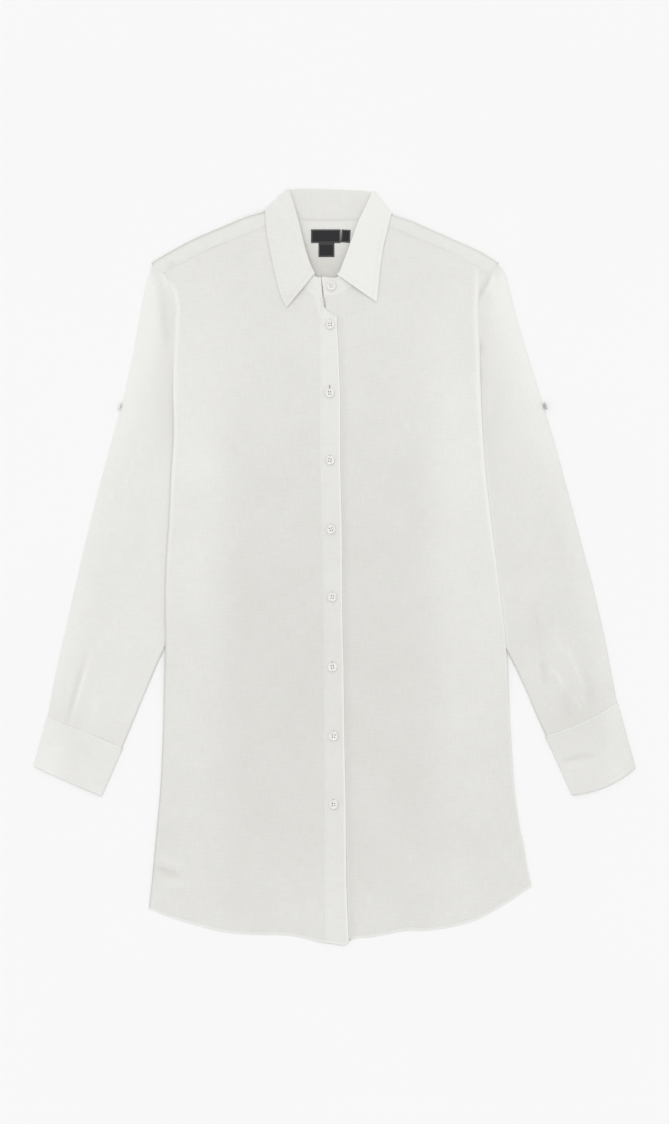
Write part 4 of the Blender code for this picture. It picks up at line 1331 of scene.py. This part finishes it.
def make_sleeve(word, side):
    """A sleeve, from its armhole, part of it tucked behind the body, to its cuff seam."""
    outer, inner = sleeve_edges(side)
    out_outer, out_inner = outs_of(outer, side), outs_of(inner, -side)
    start = outer - out_outer * SLEEVE_THICK / 2
    end = inner - out_inner * SLEEVE_THICK / 2

    # The first row is the armhole, whose upper end bends round along the seam
    high = SHOULDER_TIP - TIP_GAP
    tip, armpit = outline_point(high, side), outline_point(inner[0, 1], side)
    start[0], end[0], out_outer[0] = tip, armpit, outline_way(high, side)
    out_inner[0] = unit(out_inner[0] + unit(end[1] - armpit))

    def row(index):
        near_hole = max(1 - index / ARMHOLE_FADE_ROWS, 0) ** 2
        near_cuff = max(1 - (SLEEVE_ROWS - 1 - index) / BOW_ROWS, 0) ** 2
        away = turned_left(unit(end[index] - start[index])) * side

        def bend(share):
            x, y = tip + share * (armpit - tip)
            bulge = np.array([side_edge(y, side) - x, 0.0])
            under = UNDERARM_BOW * math.sin(math.pi * math.sqrt(min(index / UNDERARM_ROWS, 1)))
            deep = share * bow(share, under) + bow(share, CUFF_BOWS[side][0] * near_cuff)
            return bulge * near_hole + away * deep

        return ring(start[index], end[index], SLEEVE_THICK, out_outer[index], out_inner[index], bend)

    points = finer(np.array([row(index) for index in range(SLEEVE_ROWS)]), SLEEVE_FINER)
    # Painted shade on the sleeve just above the cuff
    from_cuff = np.arange(len(points))[::-1, None]
    tube(f"sleeve_{word}", side, points, CLOTH, edge_shade(from_cuff, *SLEEVE_FOOT_SHADE))


def make_cuff(word, side):
    """A cuff, from its seam with the sleeve to its hem."""
    outer, inner = (edge[-1] for edge in sleeve_edges(side))
    hem_outer, hem_inner = (np.array(end) for end in CUFF_HEMS[side])
    across = unit(inner - outer)
    away = turned_left(across) * side
    first, last = outer - CUFF_OVER * across, inner + CUFF_OVER * across

    def row(place):
        start = first + place * (hem_outer - first) + CUFF_THICK / 2 * across
        end = last + place * (hem_inner - last) - CUFF_THICK / 2 * across
        deep = np.interp(place, (0, 1), CUFF_BOWS[side])
        return ring(start, end, CUFF_THICK, -across, across, lambda share: away * bow(share, deep))

    points = np.array([row(place) for place in CUFF_ROWS])
    # Painted highlight along the cuff's seam row
    more = CUFF_SEAM_LIGHT * (np.arange(len(points))[:, None] < 1)
    made = tube(f"cuff_{word}", side, points, STIFF, more)
    first_over = SLEEVE_UNDER + END_STEPS
    over, under = slice(first_over + 1, first_over + SLEEVE_TOP), slice(1, SLEEVE_UNDER)
    sew(f"cuff_{word}_stitches", made, [points[index, over, :2] for index in CUFF_SEWN])
    lines = [points[index, under, :2] for index in CUFF_SEWN]
    sew(f"cuff_{word}_under_stitches", made, lines, below=True)


def circle(sides):
    """The corners of a circle of radius 1."""
    return [(math.cos(turn), math.sin(turn)) for turn in np.linspace(0, 2 * math.pi, sides, endpoint=False)]


def ring_faces(sides, gaps, base=0):
    """The faces between rings of corners that follow each other from a base corner."""
    faces = []
    for first in range(base, base + gaps * sides, sides):
        for k in range(sides):
            a, b = first + k, first + (k + 1) % sides
            faces.append((a, b, b + sides, a + sides))
    return faces


# One stitch is a spindle: along it, each ring's place and share of its width
SPINDLE = ((-0.5, 0.0), (-0.28, 1.0), (0.28, 1.0), (0.5, 0.0))
SPINDLE_SIDES = 6

# Kinds of sewing: how far apart stitches are, their length, width and height, and how far they
# stand out of the cloth, above and below; and how far away, in metres, they are dropped from
DROP_FROM = 0.05
TOPSTITCH = {"pitch": 2.6, "size": (2.1, 0.42, 0.3), "proud": 0.04, "below": -0.06, "material": "thread"}
BORDER = {"pitch": 0.9, "size": (0.95, 0.32, 0.25), "proud": 0.0, "material": "label_thread"}


def stitches(name, places, aheads, ups, size, material="thread"):
    """Stitches as one mesh, each a small spindle lying along its direction on the cloth."""
    long, wide, high = size
    corners, faces = [], []
    for place, ahead, up in zip(places, aheads, ups):
        beside = np.cross(up, ahead)
        faces += ring_faces(SPINDLE_SIDES, len(SPINDLE) - 1, len(corners))
        for along, share in SPINDLE:
            for x, y in circle(SPINDLE_SIDES):
                across = beside * x * wide / 2 + up * y * high / 2
                corners.append(place + ahead * along * long + share * across)
    return new_piece(name, corners, faces, material)


def tree_of(piece):
    """A piece's mesh, ready to have points dropped on it."""
    mesh = piece.data
    return BVHTree.FromPolygons([v.co for v in mesh.vertices], [tuple(p.vertices) for p in mesh.polygons])


def dropped(tree, plan, below=False):
    """Plan points put on a piece's outer face, with the face's normals; misses are left out."""
    height, way = (-DROP_FROM, 1) if below else (DROP_FROM, -1)
    places, ups = [], []
    for x, y in plan:
        hit, normal, _, _ = tree.ray_cast(Vector((x * MM, y * MM, height)), Vector((0, 0, way)))
        if hit is not None:
            places.append(np.array(hit) / MM)
            ups.append(np.array(normal))
    return np.array(places), np.array(ups)


def evenly(line, pitch):
    """Points a pitch apart along a line of points."""
    line = np.asarray(line, float)
    along = lengths(line)
    at = np.arange(pitch / 2, along[-1], pitch)
    return np.stack([np.interp(at, along, line[:, k]) for k in range(line.shape[1])], axis=1)


def inset(line, gap):
    """A line in plan moved to its left by a gap, its corners kept."""
    line = np.asarray(line, float)
    ways = units(np.diff(line, axis=0))
    lefts = np.stack([-ways[:, 1], ways[:, 0]], axis=1)
    both = np.concatenate([lefts[:1], lefts]) + np.concatenate([lefts, lefts[-1:]])
    return line + gap * both * 2 / (both * both).sum(axis=1)[:, None]


def sew(name, piece, lines, below=False, kind=TOPSTITCH):
    """Rows of stitches on a piece, along lines in plan."""
    tree = tree_of(piece)
    found = []
    for line in lines:
        places, ups = dropped(tree, evenly(line, kind["pitch"]), below)
        if len(places) > 2:
            stand_out = kind["below" if below else "proud"]
            found.append((places + stand_out * ups, units(np.gradient(places, axis=0)), ups))
    places, aheads, ups = (np.concatenate(rows) for rows in zip(*found))
    made = stitches(name, places, aheads, ups, kind["size"], kind["material"])
    sewn_on.setdefault(piece.name, []).append(made)


class Finish:
    """A material, with short ways to add nodes to it."""

    def __init__(self, name, colour, roughness):
        material = bpy.data.materials.new(f"{name}_finish")
        material.use_nodes = True
        material.diffuse_color = (*colour, 1)
        finishes[name] = material
        self.tree = material.node_tree
        self.shader = self.tree.nodes["Principled BSDF"]
        self.set("Base Color", (*colour, 1))
        self.set("Roughness", roughness)
        self.place = self.node("TexCoord", out=3)

    def set(self, socket, value):
        """Sets an input of the shader, or links it."""
        self.feed(self.shader.inputs[socket], value)

    def feed(self, socket, value):
        if isinstance(value, bpy.types.NodeSocket):
            self.tree.links.new(value, socket)
        else:
            socket.default_value = value

    def node(self, kind, inputs=None, out=0, **settings):
        """Adds a node, sets or links its inputs, and gives one of its outputs."""
        made = self.tree.nodes.new("ShaderNode" + kind)
        for key, value in settings.items():
            setattr(made, key, value)
        for socket, value in (inputs or {}).items():
            self.feed(made.inputs[socket], value)
        return made.outputs[out]

    def math(self, operation, *values):
        return self.node("Math", dict(enumerate(values)), operation=operation)

    def vector(self, operation, *values):
        return self.node("VectorMath", dict(enumerate(values)), operation=operation)

    def noise(self, at, scale, detail, roughness=0.5, out=0):
        inputs = {"Vector": at, "Scale": scale, "Detail": detail, "Roughness": roughness}
        return self.node("TexNoise", inputs, out)

    def spread(self, value, *ends):
        """A value's range, between two ends, mapped to two others."""
        return self.node("MapRange", {0: value, **dict(enumerate(ends, 1))})

    def mix(self, share, low, high):
        return self.node("Mix", {0: share, 6: (*low, 1), 7: (*high, 1)}, 2, data_type="RGBA")

    def bump(self, height, strength, distance, **beneath):
        return self.node("Bump", {"Height": height, "Strength": strength, "Distance": distance, **beneath})


# The linen in metres: its threads' pitch, how much higher the upper one lies and how they wander
# (scale, detail and distance), and its darkest and lightest colours, between which its tone and
# the painted light and shade in it move
THREAD_PITCH = 0.00064
THREAD_OVER = 0.6
WANDER = (90.0, 2.0)
WANDER_FAR = 0.0012
LINEN_DARK = (0.378, 0.363, 0.316)
LINEN_LIGHT = (0.878, 0.875, 0.848)

# Slubs, mottling and crumpling: stretch or scale, detail and roughness of the noise, and what its
# usual range does to the tone and to the roughness
SLUB_STRETCHES = ((560.0, 55.0, 1.0), (60.0, 520.0, 1.0))
SLUBS = (1.0, 3.0, 0.6)
SLUB_TONES = (0.7, 1.3, -0.095, 0.095)
SLUB_ROUGHNESS = (0.7, 1.3, 0.92, 0.8)
MOTTLE = (14.0, 3.0, 0.55)
MOTTLE_TONES = (0.3, 0.7, -0.05, 0.05)
CRUMPLE = (60.0, 4.0, 0.6)

# Strength and depth in metres of the linen's relief, each lying on the one before
CRUMPLE_RELIEF = (0.35, 0.0008)
SLUB_RELIEF = (0.5, 0.00012)
WEAVE_RELIEF = (0.45, 0.00012)


def weave_height(linen, u, v):
    """Plain weave: warp and weft threads that pass over each other in turn."""
    su, sv = (linen.math("SINE", linen.math("MULTIPLY", way, math.pi / THREAD_PITCH)) for way in (u, v))
    over = linen.math("MULTIPLY", linen.math("MULTIPLY", su, sv), THREAD_OVER)
    warp = linen.math("ADD", linen.math("ABSOLUTE", su), over)
    weft = linen.math("SUBTRACT", linen.math("ABSOLUTE", sv), over)
    return linen.math("MAXIMUM", warp, weft)


def linen_material():
    """Plain-woven linen: uneven threads, slubs both ways, soft mottling, and the painted light and shade of
    its tone.
    """
    linen = Finish("linen", LINEN_LIGHT, 0.88)
    threads = linen.node("UVMap", uv_map="weave")
    wander = linen.vector("SUBTRACT", linen.noise(threads, *WANDER, out=1), (0.5, 0.5, 0.5))
    wander = linen.node("VectorMath", {0: wander, "Scale": WANDER_FAR}, operation="SCALE")
    moved = linen.vector("ADD", threads, wander)
    split = linen.node("SeparateXYZ", {0: moved})
    weave = weave_height(linen, split, split.node.outputs[1])

    slubs = []
    for stretch in SLUB_STRETCHES:
        slubs.append(linen.noise(linen.vector("MULTIPLY", moved, stretch), *SLUBS))
    slub = linen.math("ADD", *slubs)
    cloud = linen.spread(linen.noise(linen.place, *MOTTLE), *MOTTLE_TONES)
    # Each piece's tone attribute: painted light and shade on top of the linen's own lightness
    tone = linen.node("Attribute", out=2, attribute_name="tone")
    share = linen.math("ADD", linen.spread(slub, *SLUB_TONES), cloud)
    share = linen.spread(linen.math("ADD", share, tone), -1.0, 1.0, 0.0, 1.0)
    linen.set("Base Color", linen.mix(share, LINEN_DARK, LINEN_LIGHT))
    linen.set("Roughness", linen.spread(slub, *SLUB_ROUGHNESS))
    linen.set("Sheen Weight", 0.12)
    linen.set("Sheen Roughness", 0.6)
    linen.set("Specular IOR Level", 0.25)

    crumpled = linen.bump(linen.noise(linen.place, *CRUMPLE), *CRUMPLE_RELIEF)
    slubbed = linen.bump(slub, *SLUB_RELIEF, Normal=crumpled)
    linen.set("Normal", linen.bump(weave, *WEAVE_RELIEF, Normal=slubbed))


def patterned(name, colour, roughness, ends, grain, wave=None, bump=None):
    """A finish whose colour goes between two ends with a grain, times a wave where it has one.

    grain is a noise's scale and detail, wave a wave's scale, distortion and detail, and bump
    the strength and depth of the same pattern in relief. It gives the finish and its grain.
    """
    finish = Finish(name, colour, roughness)
    pattern = fine = finish.noise(finish.place, *grain)
    if wave:
        inputs = dict(zip(("Vector", "Scale", "Distortion", "Detail"), (finish.place, *wave)))
        pattern = finish.math("MULTIPLY", finish.node("TexWave", inputs), fine)
    finish.set("Base Color", finish.mix(pattern, *ends))
    if bump:
        finish.set("Normal", finish.bump(pattern, *bump))
    return finish, fine


def make_materials():
    """The linen, the sewing thread, the buttons' shells with a paler and a darker copy for painted light and
    shade, the labels, and the dark finish of the slits and shanks, which is painted shade.
    """
    linen_material()
    thread_ends = ((0.74, 0.735, 0.71), (0.86, 0.855, 0.83))
    patterned("thread", (0.82, 0.815, 0.79), 0.6, thread_ends, (2600.0, 2.0), bump=(0.5, 0.00008))
    # A paler copy of the shell, lighter to paint out the shade on the edge-on left tab button, which the
    # collar button shares, and a darker copy, painted shade on the edge-on right tab button
    for name, low, high in (
        ("shell", (0.66, 0.65, 0.62), (0.87, 0.865, 0.84)),
        ("pale_shell", (0.76, 0.745, 0.71), (0.86, 0.845, 0.815)),
        ("shaded_shell", (0.3, 0.295, 0.285), (0.5, 0.49, 0.475)),
    ):
        layers, relief = (45.0, 9.0, 3.0), (0.15, 0.00008)
        shell, grain = patterned(name, high, 0.22, (high, low), (420.0, 3.0), layers, relief)
        shell.set("Roughness", shell.spread(grain, 0.3, 0.7, 0.16, 0.34))
        shell.set("Coat Weight", 0.25)
    for name, low, high in (
        ("label", (0.006, 0.006, 0.008), (0.022, 0.022, 0.026)),
        ("label_thread", (0.30, 0.30, 0.30), (0.52, 0.52, 0.51)),
        # opening: near black, painted shade in the buttonhole slits and on the shanks seen through the
        # buttons' holes
        ("opening", (0.05, 0.045, 0.035), (0.09, 0.08, 0.065)),
    ):
        patterned(name, high, 0.75, (low, high), (1400.0, 2.0), (620.0, 0.6, 1.0), (0.6, 0.0001))


# A button's profile from its middle out to the rim and round to its back: share of its radius
# and height above its middle as a share of its thickness
BUTTON_PROFILE = (
    (0.0, 0.30), (0.30, 0.29), (0.54, 0.28), (0.64, 0.32), (0.72, 0.44), (0.79, 0.50), (0.87, 0.49),
    (0.94, 0.40), (0.985, 0.24), (1.0, 0.02), (0.97, -0.24), (0.88, -0.42), (0.74, -0.50), (0.0, -0.50),
)  # fmt: skip
BUTTON_SIDES = 56
HOLE_FROM_MIDDLE = 0.34
HOLE_WIDE = 1.5
HOLE_SIDES = 12
SHARP_ANGLE = 32.0

# The thread in a button's holes: its length as a multiple of their distance from the middle, its
# thickness, its height as a share of the button's, and how much higher its second turn lies.
# Below it a dark shank, which paints the shade seen through the holes: its radius as a share of the button's
# width, and where it ends.
BAR_LONG = 2.3
BAR_THICK = 0.4
BAR_DEEP = 0.22
BAR_TURNS = (0.0, 0.12)
SHANK_SIDES = 24
SHANK_RADIUS = 0.25
SHANK_ENDS = (-0.25, 0.02)


def hole_reach():
    """How far along and across each hole is from the middle of a button 1 wide."""
    return HOLE_FROM_MIDDLE / 2 / math.sqrt(2)


def button_mesh():
    """A four-hole button 1 wide and 1 thick, its holes cut through."""
    corners, faces = [], []
    for radius, height in BUTTON_PROFILE[1:-1]:
        corners += [(radius / 2 * x, radius / 2 * y, height) for x, y in circle(BUTTON_SIDES)]
    top, bottom = len(corners), len(corners) + 1
    corners += [(0, 0, BUTTON_PROFILE[0][1]), (0, 0, BUTTON_PROFILE[-1][1])]
    last = len(BUTTON_PROFILE) - 3
    for k in range(BUTTON_SIDES):
        after = (k + 1) % BUTTON_SIDES
        faces.append((top, k, after))
        faces.append((bottom, last * BUTTON_SIDES + after, last * BUTTON_SIDES + k))
        for r in range(last):
            a, b = r * BUTTON_SIDES + k, r * BUTTON_SIDES + after
            faces.append((a, a + BUTTON_SIDES, b + BUTTON_SIDES, b))
    blank = plain_object("button_blank", corners, faces)

    corners, faces = [], []
    radius = HOLE_WIDE / BUTTON_WIDE / 2
    for across, along in ((1, 1), (-1, 1), (-1, -1), (1, -1)):
        base = len(corners)
        middle = np.array([across, along]) * hole_reach()
        for height in (-1.0, 1.0):
            corners += [(*(middle + radius * np.array(spot)), height) for spot in circle(HOLE_SIDES)]
        faces.append(tuple(range(base, base + HOLE_SIDES))[::-1])
        faces.append(tuple(range(base + HOLE_SIDES, base + 2 * HOLE_SIDES)))
        faces += ring_faces(HOLE_SIDES, 1, base)
    drill = plain_object("button_drill", corners, faces)
    cut = blank.modifiers.new("holes", "BOOLEAN")
    cut.operation = "DIFFERENCE"
    cut.object = drill
    cut.solver = "EXACT"
    bpy.context.view_layer.update()
    evaluated = blank.evaluated_get(bpy.context.evaluated_depsgraph_get())
    done = bpy.data.meshes.new_from_object(evaluated)
    bpy.data.objects.remove(blank)
    bpy.data.objects.remove(drill)
    return done


def sharp_by_angle(piece, degrees):
    """Marks the edges sharper than an angle, so that rims and holes keep theirs."""
    limit = math.cos(math.radians(degrees))
    faces_at = {}
    for polygon in piece.data.polygons:
        for key in polygon.edge_keys:
            faces_at.setdefault(key, []).append(polygon.normal)
    for edge in piece.data.edges:
        normals = faces_at.get(edge.key, [])
        edge.use_edge_sharp = len(normals) == 2 and normals[0].dot(normals[1]) < limit


def make_button(node, blank, centre, axis, wide, turn, material="shell"):
    """A button on its axis, with two bars of thread through its holes."""
    axis = np.asarray(axis, float)
    spin = Vector((0, 0, 1)).rotation_difference(Vector(axis)).to_matrix() @ Matrix.Rotation(turn, 3, "Z")
    spin = np.array(spin)
    corners = np.array([tuple(v.co) for v in blank.vertices]) * (wide, wide, BUTTON_THICK)
    faces = [tuple(p.vertices) for p in blank.polygons]
    made = new_piece(f"{node}_piece", corners @ spin.T + centre, faces, material)
    sharp_by_angle(made, SHARP_ANGLE)
    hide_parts(node)
    reach = hole_reach() * wide
    places = [
        centre + spin @ np.array([across * reach, 0.0, BUTTON_THICK * BAR_DEEP + lift])
        for across in (-1, 1)
        for lift in BAR_TURNS
    ]
    ahead = spin @ np.array([0.0, 1.0, 0.0])
    size = (reach * BAR_LONG, BAR_THICK, BAR_THICK)
    stitches(f"{node}_thread", places, [ahead] * len(places), [axis] * len(places), size)
    # Under a front button, a dark shank paints the shade seen through its holes
    if material == "shell":
        corners = []
        for step in SHANK_ENDS:
            middle = centre + axis * (step - BUTTON_THICK / 2)
            spokes = [spin @ np.array([x, y, 0.0]) for x, y in circle(SHANK_SIDES)]
            corners += [middle + spoke * SHANK_RADIUS * wide for spoke in spokes]
        faces = ring_faces(SHANK_SIDES, 1)
        faces += [tuple(range(SHANK_SIDES))[::-1], tuple(range(SHANK_SIDES, 2 * SHANK_SIDES))]
        new_piece(f"{node}_shank", corners, faces, "opening")


def make_front_buttons(blank, placket_tree):
    """The eight buttons down the placket, each over its buttonhole."""
    for index, (y, from_seam, above, turn) in enumerate(zip(*BUTTONS.values()), 1):
        x = placket_line(y, "seam") + from_seam
        top = on_layer((x, y), 2)[2] + SOLID_WALL / 2
        centre = np.array([x, y, top + SEAM + BUTTON_THICK / 2])
        make_button(f"button_{index}", blank, centre, (0, 0, 1), BUTTON_WIDE, math.radians(turn))
        make_buttonhole(index, x, y, above, placket_tree)


# Buttonholes: how far they reach below the button's middle, the pitch, place and size of their
# satin stitches, the bars at their ends, and the dark slit between them, painted shade: its ends, its
# section, its least half width, how much more it is open, how round that is, and the share of it at the foot
HOLE_BELOW = 4.0
SATIN_PITCH = 0.5
SATIN_BESIDE = 0.75
SATIN_SIZE = (1.25, 0.5, 0.5)
BAR_GAP = 0.4
BAR_STITCHES = (-0.3, 0.1, 0.5)
SLIT_INSET = (0.5, -0.3)
SLIT_POINTS = 12
SLIT_SECTION = ((-1, 0.02), (0, 0.18), (1, 0.02), (0, -0.2))
SLIT_LEAST = 0.12
SLIT_MORE = 0.42
SLIT_POWER = 0.8
SLIT_FOOT = 0.4


def make_buttonhole(number, x, y, above, tree):
    """A vertical buttonhole: satin stitches round a dark slit of painted shade, with a bar at each end."""
    low, high = y - HOLE_BELOW, y + above
    spots = [(x + side * SATIN_BESIDE, at) for side in (-1, 1) for at in np.arange(low, high, SATIN_PITCH)]
    spots += [(x, end + step) for end in (low - BAR_GAP, high + BAR_GAP) for step in BAR_STITCHES]
    places, ups = dropped(tree, spots)
    aheads = [np.array([1.0, 0.0, 0.0])] * len(places)
    satin = stitches(f"buttonhole_{number}", places, aheads, ups, SATIN_SIZE)

    spots = np.linspace(low + SLIT_INSET[0], high + SLIT_INSET[1], SLIT_POINTS)
    base = dropped(tree, [(x, at) for at in spots])[0][:, 2]
    corners = []
    for at, z, share in zip(spots, base, np.linspace(0, 1, SLIT_POINTS)):
        more = SLIT_MORE * math.sin(math.pi * share) ** SLIT_POWER
        wide = SLIT_LEAST + more * (SLIT_FOOT + (1 - SLIT_FOOT) * share)
        corners += [(x + across * wide, at, z + rise) for across, rise in SLIT_SECTION]
    sides = len(SLIT_SECTION)
    faces = ring_faces(sides, SLIT_POINTS - 1)
    faces += [tuple(range(sides))[::-1], tuple(range(len(corners) - sides, len(corners)))]
    slit = new_piece(f"buttonhole_{number}_slit", corners, faces, "opening")
    sewn_on["placket_cloth"] += [satin, slit]


def make_collar_button(sections, blank):
    """The button on the stand's right end, square to the cloth below it."""
    end = sections[-1]
    slope = unit((end["fold"] - end["seam"]) * (0, 1, 1))
    normal = np.array([0.0, -slope[2], slope[1]])
    x, y = COLLAR_BUTTON
    share = (y - end["seam"][1]) / (end["fold"][1] - end["seam"][1])
    middle = end["seam"][2] + share * (end["fold"][2] - end["seam"][2]) + FOLD
    lift = SOLID_WALL / 2 + 3 * SEAM + BUTTON_THICK / 2
    centre = np.array([x, y, middle]) + lift * normal
    make_button("button_collar", blank, centre, normal, BUTTON_WIDE, COLLAR_BUTTON_TURN, "pale_shell")


def make_tab_button(word, side, blank):
    """A sleeve tab's button, on edge against the outer fold of the sleeve."""
    y = TAB_BUTTON_HEIGHT
    x, above = (looked_up(SLEEVES[side], "outer_x", at, "outer_y") for at in (y, y + TAB_SLOPE_STEP))
    out = unit(np.array([side * TAB_SLOPE_STEP, side * (x - above)]))
    away = 2 * SEAM + BUTTON_THICK / 2
    centre = np.array([x, y, TAB_BUTTON_WIDE / 2 + SEAM]) + away * np.array([*out, 0.0])
    # The right tab button takes the darker copy of the shell, painted shade; the left takes the paler one,
    # lighter to paint out its shade
    shell = "shaded_shell" if side > 0 else "pale_shell"
    make_button(f"button_sleeve_{word}", blank, centre, (*out, 0.0), TAB_BUTTON_WIDE, TAB_BUTTON_TURN, shell)


# Labels: their thickness, their rise over the yoke, their columns and rows, and their border's inset
LABEL_THICK = 0.5
LABEL_RISE = YOKE_THICK / 2 + SEAM
LABEL_GRID = (19, 13)
LABEL_INSET = 0.9


def make_label(name, left, low, right, high, slant):
    """A woven label on the yoke's inner face, following it."""
    middle = np.array([left + right, low + high]) / 2
    turn = math.radians(slant)
    across = np.array([math.cos(turn), math.sin(turn)])
    along = turned_left(across)
    u, v = np.meshgrid(*(np.linspace(-0.5, 0.5, count) for count in LABEL_GRID))
    plan = middle + u[..., None] * (right - left) * across + v[..., None] * (high - low) * along
    points = on_layer(plan, 0)
    points[..., 2] += LABEL_RISE
    piece = cloth(name, points, LABEL_THICK, 0.0, material="label")
    reach = np.array([right - left, high - low]) / 2 - LABEL_INSET
    corners = [(-1, -1), (1, -1), (1, 1), (-1, 1), (-1, -1)]
    line = [middle + x * reach[0] * across + y * reach[1] * along for x, y in corners]
    sew(f"{name}_border", piece, [line], kind=BORDER)


# Light and camera, in metres: even daylight, and a soft key from above the collar
KEY_FROM = (-0.2, 0.5, 1.5)
KEY_STRENGTH = 0.781
KEY_SOFTNESS = 1.0
DAYLIGHT = 0.7715
FLOOR_REACH = 6.0
FLOOR_TONES = ((0.93, 0.93, 0.93), (0.94, 0.94, 0.94))
CAMERA_AT = (0, 0.0052, 3.814)
CAMERA_LENS = 100
CAMERA_SENSOR = 36


def make_studio():
    """A pale floor, the light, and the camera straight above."""
    patterned("floor", FLOOR_TONES[0], 0.9, FLOOR_TONES, (3.0, 2.0))
    corners = [(x * FLOOR_REACH, y * FLOOR_REACH, 0) for x, y in ((-1, -1), (1, -1), (1, 1), (-1, 1))]
    floor = plain_object("floor", corners, [(0, 1, 2, 3)])
    floor.data.materials.append(finishes["floor"])

    world = bpy.data.worlds.new("daylight")
    world.use_nodes = True
    background = world.node_tree.nodes["Background"]
    background.inputs["Color"].default_value = (1.0, 1.0, 1.0, 1)
    background.inputs["Strength"].default_value = DAYLIGHT
    bpy.context.scene.world = world
    lamp = bpy.data.lights.new("key", "SUN")
    lamp.energy = KEY_STRENGTH
    lamp.angle = KEY_SOFTNESS
    key = bpy.data.objects.new("key", lamp)
    key.rotation_euler = Vector(KEY_FROM).to_track_quat("Z", "Y").to_euler()
    bpy.context.scene.collection.objects.link(key)

    camera = bpy.data.cameras.new("camera")
    camera.lens = CAMERA_LENS
    camera.sensor_width = CAMERA_SENSOR
    made = bpy.data.objects.new("camera", camera)
    made.location = CAMERA_AT
    bpy.context.scene.collection.objects.link(made)
    bpy.context.scene.camera = made
    bpy.context.scene.view_settings.view_transform = "Standard"


def main():
    """Builds the materials, the studio and every piece, down to the labels."""
    make_materials()
    make_studio()
    sections = collar_sections()
    make_back()
    make_yoke()
    make_front(-1)
    make_front(1)
    make_button_band()
    placket = make_placket()
    make_stand(sections)
    make_leaf(sections[NECK_STEPS:-NECK_STEPS])
    blank = button_mesh()
    for side, word in ((-1, "left"), (1, "right")):
        make_sleeve(word, side)
        make_cuff(word, side)
        make_tab_button(word, side, blank)
    make_front_buttons(blank, tree_of(placket))
    make_collar_button(sections, blank)
    for name, place in LABELS.items():
        make_label(name, *place)


main()
